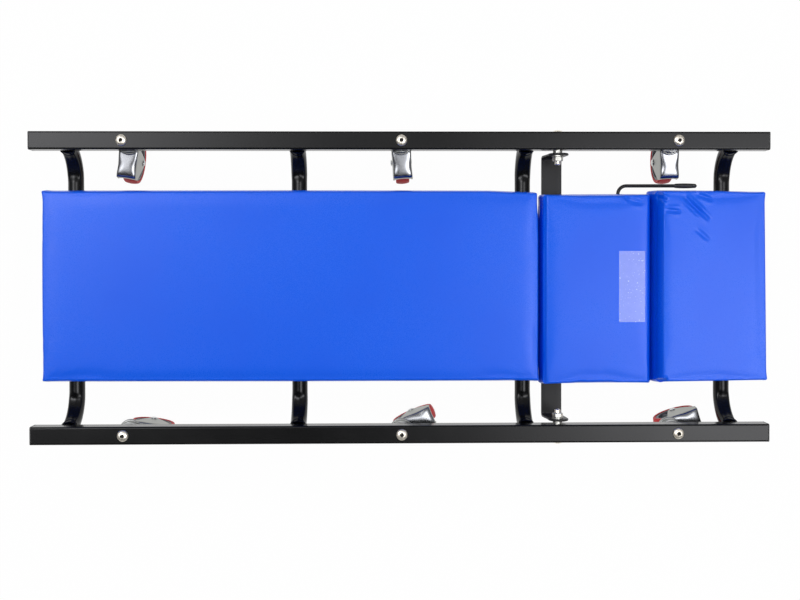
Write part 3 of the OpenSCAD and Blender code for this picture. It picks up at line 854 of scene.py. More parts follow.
@dataclass
class CrossTubes:
    """The four round tubes, each bent up to the rails and pressed in on the inside of its bends."""

    model: Model
    bend: float = 50.0 * MM
    press: float = 2.8 * MM
    press_width: float = 0.8
    press_start: tuple[float, float] = (0.02, 0.2)
    press_end: tuple[float, float] = (0.86, 1.0)
    flattening: float = 0.03
    bead: float = 2.2 * MM
    bead_gap: float = 0.3 * MM
    bead_shape: tuple[float, float] = (0.75, 1.15)
    bead_reach: float = 1.45 * MM
    ripple: float = 0.15
    passes: float = 11.0
    solid_bead: float = 1.3 * MM
    end_inset: float = 6.0 * MM
    end_overrun: float = 0.22
    end_slant: float = 1.1
    slant_reach: float = 14.0 * MM
    names: tuple[str, ...] = ("foot_cross_tube", "waist_cross_tube", "shoulder_cross_tube", "head_cross_tube")

    def build(self) -> None:
        """Makes every tube with its welds."""
        for name in self.names:
            self._tube(name)

    def _tube(self, name: str) -> None:
        """One tube along its bent line, with the inside of each bend pressed in.

        The model's box holds the weld beads too, so the tube's radius is half of it less a bead.

        Args:
            name: The model's node that the tube replaces.
        """
        extent = Extent.of(name)
        rail_y = Extent.of("left_rail").middle.y - self.end_inset
        radius = extent.size.x / 2.0 - self.solid_bead
        low, top = extent.low.z + radius, extent.high.z
        drop = top - low
        out = math.sqrt(self.bend**2 - (self.bend - drop) ** 2)
        level = rail_y - out
        end_angle = math.acos((self.bend - drop) / self.bend) + self.end_overrun
        angle = np.linspace(0.0, end_angle, 44)
        arc = spots(0.0, level + self.bend * np.sin(angle), self.bend * (1 - np.cos(angle)))
        straight = spots(0.0, np.linspace(0.0, level, 30), 0.0)[:-1]
        half = np.vstack([straight, arc])
        path = np.vstack([half[:0:-1] * (1, -1, 1), half]) + (extent.middle.x, 0.0, low)
        turn = np.concatenate([np.full(len(straight), -1.0), angle / end_angle])
        turn = np.concatenate([turn[:0:-1], turn])
        grid = swept(path, np.array([1.0, 0.0, 0.0]), self._section(radius, turn, full_turn(64)))
        skin = Skin().add(self._cut(grid, top), closed_columns=True)
        for side in (-1, 1):
            skin.add(self._cut(self._weld(radius, extent.middle.x, side * rail_y, top), top), closed_columns=True)
        self.model.stand_in(skin, name, "bent", BLACK_PAINT, sharp=50.0)

    def _cut(self, grid: Grid, top: float) -> Grid:
        """Cuts an end level with the rail's underside, and slanting down where it shows beside the rail.

        Args:
            grid: Points of a tube or of a bead.
            top: Height of the rail's underside.

        Returns:
            The points, none above the cut.
        """
        shown = np.clip(Extent.of("left_rail").low.y - np.abs(grid[..., 1]), 0.0, None)
        cut = grid.copy()
        cut[..., 2] = np.minimum(cut[..., 2], top - self.end_slant * np.minimum(shown, self.slant_reach))
        return cut

    def _section(self, radius: float, turn: Grid, angle: Grid) -> Grid:
        """The radius along and round the tube.

        A hollow is pressed in where the section faces the bend's middle: across it 1 - (a / w)^3 of its
        depth, and along the bend a flat-topped rise that starts and ends quickly. The tube gets wider
        there by f sin(a)^2.

        Args:
            radius: The straight tube's radius.
            turn: For each ring -1 on the level part, and 0 to 1 along a bend.
            angle: Angles of the points of a ring.

        Returns:
            The radius by ring and angle.
        """
        along = (ease(*self.press_start, turn) * (1.0 - ease(*self.press_end, turn)))[:, None]
        facing = np.abs(np.mod(angle + np.pi, 2.0 * np.pi) - np.pi)
        hollow = 1.0 - np.clip(facing / self.press_width, 0.0, 1.0) ** 3
        swell = self.flattening * np.sin(angle) ** 2
        return radius * (1.0 + swell[None, :] * along) - self.press * along * hollow[None, :]

    def _weld(self, radius: float, x: float, y: float, top: float) -> Grid:
        """A bead round the tube's end: a ring of small ripples, each a laid pass of the weld.

        The bead is a quarter ellipse, from the tube at its foot to the rail at its widest, and its size
        follows |sin na| with the angle a round the tube and n passes.

        Args:
            radius: The tube's radius.
            x: Where the tube meets the rail.
            y: Where the tube meets the rail.
            top: Height of the rail's underside.

        Returns:
            A grid of points, one turn to a row.
        """
        around = full_turn(96)
        across = np.linspace(0.0, np.pi / 2.0, 7)
        ripple = self.bead * (1.0 - self.ripple + self.ripple * np.abs(np.sin(self.passes * around)))
        wide, deep = self.bead_shape
        reach = radius + self.bead_gap + ripple[None, :] * wide * np.sin(across)[:, None]
        height = top - ripple[None, :] * deep * np.cos(across)[:, None]
        stretch = np.minimum(reach, radius + self.bead_reach)
        return spots(x + stretch * np.cos(around), y + stretch * np.sin(around), height)


@dataclass
class Frame:
    """The rails, end plugs, boards and bolts that stay still."""

    model: Model
    button_radius: float = 8.0 * MM
    socket: float = 5.0 * MM
    socket_depth: float = 2.6 * MM
    socket_share: float = 0.56
    bolt_radius: float = 4.0 * MM

    def build(self) -> None:
        """Dresses the plain nodes and makes the caster bolts."""
        self.model.dress(BLACK_PAINT, "left_rail", "right_rail", "prop_rack")
        self.model.dress(BLACK_PLUG, "rail_end_caps")
        self.model.dress(PLYWOOD, "main_board", "head_board")
        self.model.dress(ZINC, "main_board_screws", "head_board_screws", "caster_nuts", "caster_races")
        self._caster_bolts()

    def _caster_bolts(self) -> None:
        """Six button heads on the rails, each on its shank."""
        extent = Extent.of("caster_bolts")
        rail_top = Extent.of("left_rail").high.z
        head = ButtonHead(self.button_radius, extent.high.z - rail_top, self.socket, self.socket_depth,
                          self.bolt_radius, rail_top - extent.low.z)
        skin = Skin()
        for joint in self.model.joints.values():
            if joint["name"].endswith("_swivel"):
                x, y, _ = joint["pos_m"]
                skin.add(head.surface() + (x, y, rail_top), closed_columns=True)
        mesh = skin.mesh("caster_bolts_domed")
        # Marks the sockets for painted shade.
        self._mark_socket_shade(mesh, rail_top)
        self.model.add(mesh, NICKEL, self.model.bodies["caster_bolts"], ("caster_bolts",))

    def _mark_socket_shade(self, mesh: bpy.types.Mesh, rail_top: float) -> None:
        """Marks the points inside the sockets, so that the finish paints shade into them.

        Args:
            mesh: The mesh of all the bolts.
            rail_top: Height of the rails' upper face.
        """
        points = of_vertices(mesh)
        reach = np.full(len(points), 1.0)
        for joint in self.model.joints.values():
            if joint["name"].endswith("_swivel"):
                away = points[:, :2] - np.array(joint["pos_m"][:2])
                reach = np.minimum(reach, np.hypot(away[:, 0], away[:, 1]))
        mark(mesh, SOCKET_SHADE, (reach < self.socket_share * self.socket) & (points[:, 2] > rail_top))


# Cushions

# How the cover's cloth behaves while pressure fills it. The vertices of the group held stay in place.
COVER_CLOTH = {
    "quality": 5, "mass": 0.3, "tension_stiffness": 15.0, "compression_stiffness": 15.0, "shear_stiffness": 5.0,
    "bending_stiffness": 0.5, "vertex_group_mass": "held", "use_pressure": True, "uniform_pressure_force": 4.0,
}


@dataclass(frozen=True)
class Crease:
    """A pulled line in a cover, from one place to another, with a soft shoulder on each side."""

    start: tuple[float, float]
    end: tuple[float, float]
    width: float
    depth: float

    def lift(self, points: Grid) -> Grid:
        """Height change at each point: -d exp(-(q/w)^2) + d/2 exp(-((|q| - 2w)/w)^2), faded past the ends.

        q is the distance across the line and w its width.

        Args:
            points: Places on the cover.

        Returns:
            The height change of each.
        """
        a, b = np.array(self.start), np.array(self.end)
        along = (b - a) / np.linalg.norm(b - a)
        offset = points[:, :2] - a
        run = offset @ along
        across = offset @ np.array([-along[1], along[0]])
        length = float(np.linalg.norm(b - a))
        fade = np.prod([ease(-2.0 * self.width, 1.5 * self.width, past) for past in (run, length - run)], axis=0)
        valley = -np.exp(-((across / self.width) ** 2))
        shoulder = 0.5 * np.exp(-(((np.abs(across) - 2.0 * self.width) / self.width) ** 2))
        return self.depth * fade * (valley + shoulder)


@dataclass(frozen=True)
class Outline:
    """How far a cover reaches past the model's box in plan.

    Each side holds pairs of place and reach. The place runs from -1 to 1 along the side, in the direction
    of +Y for the foot and head sides and of +X for the others. Points are short spikes at the corners, in
    the order foot right, foot left, head right, head left.
    """

    foot: tuple[tuple[float, float], ...]
    head: tuple[tuple[float, float], ...]
    right: tuple[tuple[float, float], ...]
    left: tuple[tuple[float, float], ...]
    points: tuple[float, float, float, float] = (0.0, 0.0, 0.0, 0.0)
    point_size: float = 9.0 * MM

    @staticmethod
    def _reach(side: tuple[tuple[float, float], ...], place: Grid) -> Grid:
        """Reach in metres at places along a side, by straight lines between the pairs."""
        pairs = np.array(side)
        return np.interp(place, pairs[:, 0], pairs[:, 1]) * MM

    def moved(self, points: Grid, middle: Grid, half: Grid) -> Grid:
        """Moves points in plan: each side's reach fades evenly to nothing at the opposite side.

        Args:
            points: Places on the cover.
            middle: The middle of the model's box in plan.
            half: Half of its size in plan.

        Returns:
            The points in their new places.
        """
        x, y = ((points[:, :2] - middle) / half).T
        moved = points.copy()
        moved[:, 0] += self._reach(self.head, y) * (1.0 + x) / 2.0 - self._reach(self.foot, y) * (1.0 - x) / 2.0
        moved[:, 1] += self._reach(self.left, x) * (1.0 + y) / 2.0 - self._reach(self.right, x) * (1.0 - y) / 2.0
        for (sx, sy), size in zip(((-1, -1), (-1, 1), (1, -1), (1, 1)), self.points):
            corner = middle + half * (sx, sy)
            away = np.linalg.norm(points[:, :2] - corner, axis=1) / self.point_size
            moved[:, :2] += size * MM * np.exp(-(away**2))[:, None] * np.array([sx, sy])
        return moved


@dataclass
class Cushion:
    """A foam pad in a vinyl cover that is pulled over its board."""

    model: Model
    node: str
    cell: float
    edge: float
    swell: float
    side_swell: float
    fill: float
    outline: Outline
    slope: tuple[float, float, float] = (1.0 * MM, 0.0, 0.0)
    creases: tuple[Crease, ...] = ()
    head_slope: tuple[float, float, float] = (1.0 * MM, 0.0, 0.0)
    brow: float = 3.6 * MM
    crown_share: float = 0.15
    brow_start: float = 0.4 * MM
    brow_ease: float = 1.2 * MM
    tuck: float = 0.8 * MM
    lean_start: float = 11.0 * MM
    frames: int = 20

    def build(self) -> bpy.types.Object:
        """Returns:
            The finished piece.
        """
        extent = Extent.of(self.node)
        blank, faces = self._blank(extent)
        shape = self._inflated(extent, blank, faces)
        mesh = bpy.data.meshes.new(self.node + "_cover")
        mesh.from_pydata(shape.tolist(), [], faces.tolist())
        mesh.polygons.foreach_set("use_smooth", np.ones(len(mesh.polygons), bool))
        piece = self.model.add(mesh, BLUE_VINYL, self.model.bodies[self.node], (self.node,))
        self._subdivided(piece)
        self._shaped(extent, piece)
        return piece

    def _blank(self, extent: Extent) -> tuple[Grid, Grid]:
        """A closed box of even cells whose edges and corners are rounded.

        Each lattice point p has a core point c, p clamped to the box less the edge radius. Its place is
        c + d max|d| / |d| with d = p - c, which squeezes the square border to a round one.

        Args:
            extent: The box of the model's cushion.

        Returns:
            The points and the quads.
        """
        half = np.array(extent.size) / 2.0 - (self.side_swell, self.side_swell, self.swell / 2.0)
        counts = np.maximum(2, np.round(2.0 * half / self.cell)).astype(int)
        ticks = [np.linspace(-h, h, n + 1) for h, n in zip(half, counts)]
        points, faces, start = [], [], 0
        for axis in range(3):
            first, second = (axis + 1) % 3, (axis + 2) % 3
            for side in (-1, 1):
                grid = np.zeros((len(ticks[first]), len(ticks[second]), 3))
                grid[..., first] = ticks[first][:, None]
                grid[..., second] = ticks[second][None, :]
                grid[..., axis] = side * half[axis]
                index = np.arange(grid[..., 0].size).reshape(grid.shape[:2]) + start
                quads = np.stack([index[:-1, :-1], index[1:, :-1], index[1:, 1:], index[:-1, 1:]], axis=-1)
                faces.append(quads.reshape(-1, 4)[:, ::side])
                points.append(grid.reshape(-1, 3))
                start += len(points[-1])
        lattice = np.vstack(points)
        _, first_index, back = np.unique(
            np.round(lattice / 1e-6).astype(np.int64), axis=0, return_index=True, return_inverse=True
        )
        lattice = lattice[first_index]
        quads = back.reshape(-1)[np.vstack(faces)]
        core = np.clip(lattice, self.edge - half, half - self.edge)
        out = lattice - core
        longest = np.abs(out).max(axis=1, keepdims=True)
        length = np.maximum(np.linalg.norm(out, axis=1, keepdims=True), 1e-12)
        rounded = core + out * longest / length
        middle = np.array(extent.middle) - (0.0, 0.0, self.swell / 2.0)
        return rounded + middle, quads

    def _inflated(self, extent: Extent, blank: Grid, faces: Grid) -> Grid:
        """Lets pressure fill the cover as cloth, held at its underside, and limits how far it moves.

        Args:
            extent: The box of the model's cushion.
            blank: The points of the empty cover.
            faces: Its quads.

        Returns:
            The points of the filled cover.
        """
        mesh = bpy.data.meshes.new("cover_blank")
        mesh.from_pydata(blank.tolist(), [], faces.tolist())
        blown = bpy.data.objects.new("cover_blank", mesh)
        scene = bpy.context.scene
        scene.collection.objects.link(blown)
        held = np.nonzero(blank[:, 2] < extent.low.z + 0.35 * self.edge)[0]
        group = blown.vertex_groups.new(name="held")
        group.add(held.tolist(), 1.0, "REPLACE")
        cloth = blown.modifiers.new("Cloth", "CLOTH")
        for name, value in COVER_CLOTH.items():
            setattr(cloth.settings, name, value)
        cloth.settings.effector_weights.gravity = 0.0
        cloth.point_cache.frame_start = 1
        cloth.point_cache.frame_end = self.frames
        for frame in range(1, self.frames + 1):
            scene.frame_set(frame)
        evaluated = blown.evaluated_get(bpy.context.evaluated_depsgraph_get())
        moved = of_vertices(evaluated.data).astype(float) - blank
        bpy.data.objects.remove(blown)
        scene.frame_set(1)
        limit = np.array([self.side_swell, self.side_swell, self.swell])
        return blank + limit * np.tanh(moved / limit)

    def _subdivided(self, piece: bpy.types.Object) -> None:
        """Adds one level of subdivision for good.

        Args:
            piece: The cover.
        """
        rounder = piece.modifiers.new("Rounder", "SUBSURF")
        rounder.levels = rounder.render_levels = 1
        graph = bpy.context.evaluated_depsgraph_get()
        smooth = bpy.data.meshes.new_from_object(piece.evaluated_get(graph))
        piece.modifiers.clear()
        old = piece.data
        piece.data = smooth
        smooth.name = old.name
        bpy.data.meshes.remove(old)

    def _shaped(self, extent: Extent, piece: bpy.types.Object) -> None:
        """Stretches the cover to the model's box, then gives it its outline, its slope and its creases.

        A point of the top that is q inside the nearest side rises by 1 - (1 - q / b)^2 of the swell, with
        b the brow's width, and a share of the filled cover's own crown stays in it. The upper edge is
        drawn in by the tuck. Along the foot and head sides a slope lowers the top by its depth times
        (1 - s)^2, with s from 0 at the side to 1 at its width, and leans the side in by its last number.

        Args:
            extent: The box of the model's cushion.
            piece: The cover, filled.
        """
        mesh = piece.data
        points = of_vertices(mesh).astype(float)
        low, size = points.min(axis=0), np.ptp(points, axis=0)
        points = np.array(extent.low) + (points - low) / size * np.array(extent.size)
        middle, half = np.array(extent.middle)[:2], np.array(extent.size)[:2] / 2.0
        side_top = extent.high.z - self.swell
        crown = np.clip((points[:, 2] - side_top) / self.swell, 0.0, 1.0)
        inside = (half - np.abs(points[:, :2] - middle)).min(axis=1)
        level = 1.0 - (1.0 - np.clip(inside / self.brow, 0.0, 1.0)) ** 2
        target = side_top + self.swell * level * (1.0 - self.crown_share + self.crown_share * crown)
        on_top = ease(extent.middle.z, extent.middle.z + 0.2 * extent.size.z, points[:, 2])
        begun = np.clip((inside - self.brow_start) / self.brow_ease, 0.0, 1.0)
        points[:, 2] += on_top * begun * (target - points[:, 2])
        drawn = self.tuck * ease(extent.low.z + 0.45 * extent.size.z, side_top + 0.5 * self.swell, points[:, 2])
        points[:, :2] -= drawn[:, None] * (points[:, :2] - middle) / half
        points = self.outline.moved(points, middle, half)
        upper = ease(extent.low.z, side_top, points[:, 2])
        higher = ease(extent.low.z + self.lean_start, side_top, points[:, 2])
        slopes = ((1.0, extent.low.x, self.slope), (-1.0, extent.high.x, self.head_slope))
        for way, side, (width, depth, lean) in slopes:
            near = 1.0 - np.clip(way * (points[:, 0] - side) / width, 0.0, 1.0)
            points[:, 0] += way * lean * higher * near
            points[:, 2] -= upper * depth * near**2
        upper = ease(extent.middle.z, extent.high.z - self.swell, points[:, 2])
        for crease in self.creases:
            points[:, 2] += upper * crease.lift(points)
        mesh.vertices.foreach_set("co", points.astype(np.float32).ravel())
        mesh.update()


@dataclass
class Hem:
    """The cover's border, folded under the board and stapled to it."""

    model: Model
    board: str
    width: float = 20.0 * MM
    thickness: float = 0.7 * MM
    staple_gap: float = 42.0 * MM
    staple_length: float = 11.0 * MM
    staple_radius: float = 0.45 * MM
    corner: float = 6.0 * MM
    step: float = 4.0 * MM

    def build(self) -> None:
        """Makes the folded border and its staples.

        Each section is outline + s w inwards, with s from 0 to 1 and back, and the width w waves a little.
        It lies under the board by the cover's thickness.
        """
        extent = Extent.of(self.board)
        body = self.model.bodies[self.board]
        outer, inward = self._outline(extent)
        wave = full_turn(len(outer))
        width = self.width * (1.0 + 0.07 * np.sin(17.0 * wave) + 0.05 * np.sin(41.0 * wave + 1.0))
        across = np.array([0.0, 0.25, 0.5, 0.75, 1.0, 1.0, 0.0])
        depth = self.thickness * np.array([0.9, 1.0, 1.0, 1.0, 0.9, -0.3, -0.3])
        grid = outer[:, None, :] + inward[:, None, :] * (across[None, :, None] * width[:, None, None])
        grid[..., 2] = extent.low.z - depth[None, :]
        skin = Skin().add(grid, closed_rows=True, closed_columns=True)
        self.model.add(skin.mesh(self.board + "_hem"), BLUE_VINYL, body)
        self._staples(extent, outer, inward, body)

    def _outline(self, extent: Extent) -> tuple[Grid, Grid]:
        """The board's outline, and the direction inwards at each of its points.

        The line is a rectangle with rounded corners: centre + r (cos a, sin a) at each corner, and the
        direction inwards is -(cos a, sin a), held along the straights.

        Args:
            extent: The board's box.

        Returns:
            The points and the directions.
        """
        half = np.array(extent.size)[:2] / 2.0
        radius = self.corner
        runs, normals = [], []
        for quarter in range(4):
            angle = np.linspace(0.0, np.pi / 2.0, 9) + quarter * np.pi / 2.0
            sign = np.array([1 if quarter in (0, 3) else -1, 1 if quarter < 2 else -1])
            out = spots(np.cos(angle), np.sin(angle))
            runs.append(sign * (half - radius) + radius * out)
            normals.append(out)
        corners, outs = np.vstack(runs), np.vstack(normals)
        closed, closed_outs = np.vstack([corners, corners[:1]]), np.vstack([outs, outs[:1]])
        length = run_of(closed)
        count = int(length[-1] / self.step)
        places = np.sort(np.concatenate([length[:-1], np.linspace(0.0, length[-1], count, endpoint=False)]))
        line, normal = at_run(closed, places), at_run(closed, places, closed_outs)
        zero = np.zeros((len(line), 1))
        middle = np.array([extent.middle.x, extent.middle.y, 0.0])
        return np.hstack([line, zero]) + middle, np.hstack([-normal, zero])

    def _staples(self, extent: Extent, outer: Grid, inward: Grid, body: str) -> None:
        """Staple crowns along the middle of the border, each a short half-round bar.

        Args:
            extent: The board's box.
            outer: Points of its outline.
            inward: The direction inwards at each.
            body: The body that carries the board.
        """
        skin = Skin()
        for place in np.arange(self.staple_gap / 2.0, run_of(outer)[-1], self.staple_gap):
            at, away = at_run(outer, place), at_run(outer, place, inward)
            along = np.array([-away[1], away[0], 0.0])
            along /= max(float(np.linalg.norm(along)), 1e-9)
            middle = at + 0.5 * self.width * away
            middle[2] = extent.low.z - self.thickness
            bar = np.linspace(-0.5, 0.5, 5)[:, None] * self.staple_length * along + middle
            bar[[0, -1], 2] += 2.0 * self.staple_radius
            radius = np.full((5, 6), self.staple_radius)
            skin.add(swept(bar, np.cross(along, UP), radius), closed_columns=True)
        self.model.add(skin.mesh(self.board + "_staples"), ZINC, body)


@dataclass
class Film:
    """A blank clear film that lies on the low cushion."""

    model: Model
    low: tuple[float, float] = (304.4 * MM, -49.2 * MM)
    high: tuple[float, float] = (341.1 * MM, 50.3 * MM)
    lift: float = 0.3 * MM
    headroom: float = 0.05

    def build(self, under: bpy.types.Object) -> None:
        """Lays a grid on the cushion under it, a little above its surface. A ray finds each height.

        Args:
            under: The cushion's piece.
        """
        tree = BVHTree.FromObject(under, bpy.context.evaluated_depsgraph_get())
        x = np.linspace(self.low[0], self.high[0], 19)
        y = np.linspace(self.low[1], self.high[1], 51)
        above = under.bound_box[1][2] + self.headroom
        heights = [[self._height(tree, px, py, above) for py in y] for px in x]
        grid = np.stack([*np.meshgrid(x, y, indexing="ij"), np.array(heights) + self.lift], axis=-1)
        piece = self.model.add(Skin().add(grid).mesh("clear_film", outward=False), CLEAR_FILM, "headrest")
        piece.visible_shadow = False

    @staticmethod
    def _height(tree: BVHTree, x: float, y: float, above: float) -> float:
        """The cushion's height at a place."""
        hit = tree.ray_cast(Vector((x, y, above)), Vector((0.0, 0.0, -1.0)))[0]
        return hit.z if hit is not None else above


# Hinge and prop


@dataclass
class Hinge:
    """The hinge bar with its ears, and the bolts that carry it."""

    model: Model
    thickness: float = 3.0 * MM
    fold: float = 3.0 * MM
    bolt_radius: float = 4.0 * MM
    bolt_reach: float = 10.1 * MM
    nose_height: float = 1.8 * MM
    head_radius: float = 7.0 * MM
    nut_flats: float = 13.0 * MM
    nut_height: float = 6.5 * MM
    nut_play: float = 0.05 * MM
    strip_width: float = 29.0 * MM
    ear_radius: float = 14.0 * MM
    ear_start: float = 4.0 * MM
    step: float = 1.2 * MM
    across: tuple[float, ...] = (-1.0, -0.97, -0.9, -0.5, 0.0, 0.5, 0.9, 0.97, 1.0)
    rounding: tuple[float, ...] = (0.35, 0.85, 1.0, 1.0, 1.0, 1.0, 1.0, 0.85, 0.35)

    def build(self) -> None:
        """Makes the bar and bolts, and dresses the sleeves and washers."""
        self.model.dress(BRIGHT_ZINC, "hinge_sleeves", "hinge_washers")
        self._bar()
        self._bolts()
        self._nuts()

    def _bar(self) -> None:
        """A flat strip folded up at both ends, as a sheet with two sides.

        Along the middle line the half width stays straight on the strip and follows a circle at the
        ears' tops: w = sqrt(r^2 - t^2), with t the height above the circle's centre.
        """
        extent = Extent.of("hinge_bar")
        half = self.thickness / 2.0
        width, ear_radius = self.strip_width, self.ear_radius
        ear_y, low, top = extent.high.y, extent.low.z, extent.high.z
        bar_x = extent.low.x + width / 2.0
        ear_x = extent.high.x - ear_radius
        corner = np.array([(0.0, side * (ear_y - half), z) for side, z in
                           ((-1, top), (-1, low + half), (1, low + half), (1, top))])
        line = bent_line(corner, (self.fold + half,) * 2, self.step)
        shoulder = top - ear_radius
        rise = ease(low + self.ear_start, shoulder, line[:, 2])
        middle = bar_x + (ear_x - bar_x) * rise
        above = np.clip(line[:, 2] - shoulder, 0.0, ear_radius)
        straight = width / 2.0 + (ear_radius - width / 2.0) * rise
        half_width = np.where(above > 0, np.sqrt(np.maximum(ear_radius**2 - above**2, 1e-9)), straight)
        tangent = np.gradient(line, axis=0)
        tangent /= np.linalg.norm(tangent, axis=1, keepdims=True)
        normal = np.cross(np.array([1.0, 0.0, 0.0]), tangent)
        sides = []
        for sign in (1.0, -1.0):
            sheet = line[:, None, :] + sign * half * np.array(self.rounding)[None, :, None] * normal[:, None, :]
            sheet[..., 0] = middle[:, None] + np.array(self.across)[None, :] * half_width[:, None]
            sides.append(sheet if sign > 0 else sheet[:, ::-1])
        loop = np.concatenate(sides, axis=1)
        self.model.stand_in(Skin().add(loop, closed_columns=True), "hinge_bar", "folded", BLACK_BAR)

    def _each_end(self, surface: Grid) -> list[Grid]:
        """Both places of a shape made along +Z from the middle of the creeper outwards."""
        x, _, z = self.model.joints["headrest_tilt"]["pos_m"]
        return [along_y(surface) * (1.0, side, 1.0) + (x, 0.0, z) for side in (1.0, -1.0)]

    def _bolts(self) -> None:
        """Mushroom heads outside the rails, on shanks that end in a small dome inside."""
        extent = Extent.of("hinge_bolts")
        rail = Extent.of("left_rail")
        inner = Extent.of("hinge_nuts")
        end = inner.high.y - self.bolt_reach
        head = dome_profile(self.head_radius, extent.high.y - rail.high.y, 9) + (0.0, rail.high.y)
        nose = dome_profile(self.bolt_radius, self.nose_height, 7)[::-1] * (1.0, -1.0) + (0.0, end)
        profile = np.vstack([nose, [[self.bolt_radius, rail.high.y]], head])
        skin = Skin()
        for surface in self._each_end(turned(profile)):
            skin.add(surface, closed_columns=True)
        self.model.stand_in(skin, "hinge_bolts", "domed", NICKEL)

    def _nuts(self) -> None:
        """Chamfered nuts on the inner ends of the bolts."""
        extent = Extent.of("hinge_nuts")
        nut = HexNut(self.nut_flats, self.nut_height, self.bolt_radius + self.nut_play)
        skin = Skin()
        for surface in self._each_end(nut.surface() + (0.0, 0.0, extent.high.y - self.nut_height)):
            skin.add(surface, closed_columns=True)
        self.model.stand_in(skin, "hinge_nuts", "cut", BRIGHT_ZINC)


@dataclass
class Prop:
    """The bent wire that holds the headrest up, with a dipped grip on its handle."""

    model: Model
    wire: float = 2.5 * MM
    bend: float = 6.0 * MM
    handle_bend: float = 12.0 * MM
    grip: float = 3.7 * MM
    crossbar_half: float = 50.0 * MM
    arm: float = 110.0 * MM
    step: float = 1.5 * MM

    def build(self) -> None:
        """Makes the wire and the grip, and dresses the clips."""
        self.model.dress(ZINC, "prop_clips", "prop_clip_screws")
        self._rod()
        self._grip()

    def _rod(self) -> None:
        """One wire: handle, pivot, arm, crossbar, arm and the stub past the second clip."""
        extent = Extent.of("prop_rod")
        grip = Extent.of("prop_grip")
        x, _, z = self.model.joints["prop_swing"]["pos_m"]
        handle_y = extent.high.y - self.wire
        half, bar_x = self.crossbar_half, x + self.arm
        corners = spots(
            [grip.high.x - self.wire, x, x, bar_x, bar_x, x, x],
            [handle_y, handle_y, half, half, -half, -half, extent.low.y],
            z,
        )
        line = bent_line(corners, (self.handle_bend, *(self.bend,) * 4), self.step)
        surface = swept(line, UP, np.full((len(line), 20), self.wire))
        ends = [np.broadcast_to(line[k], surface[:1].shape) for k in (0, -1)]
        skin = Skin().add(np.vstack([ends[0], surface, ends[1]]), closed_columns=True)
        self.model.stand_in(skin, "prop_rod", "bent", BLACK_WIRE)

    def _grip(self) -> None:
        """A dipped skin that swells in the middle and tapers to both ends: r = w + (g - w) sin(pi s^0.8)^0.5."""
        extent = Extent.of("prop_grip")
        share = np.linspace(0.0, 1.0, 30)
        radius = self.wire * 0.98 + (self.grip - self.wire) * np.sin(np.pi * share**0.8) ** 0.5
        tip = ease(0.90, 1.0, share)
        radius = radius * np.sqrt(np.maximum(1.0 - tip**2, 0.0))
        line = spots(extent.low.x + share * extent.size.x, extent.middle.y, extent.middle.z)
        surface = swept(line, UP, np.repeat(radius[:, None], 24, axis=1))
        self.model.stand_in(Skin().add(surface, closed_columns=True), "prop_grip", "dipped", BLACK_DIP, sharp=60.0)


# Casters


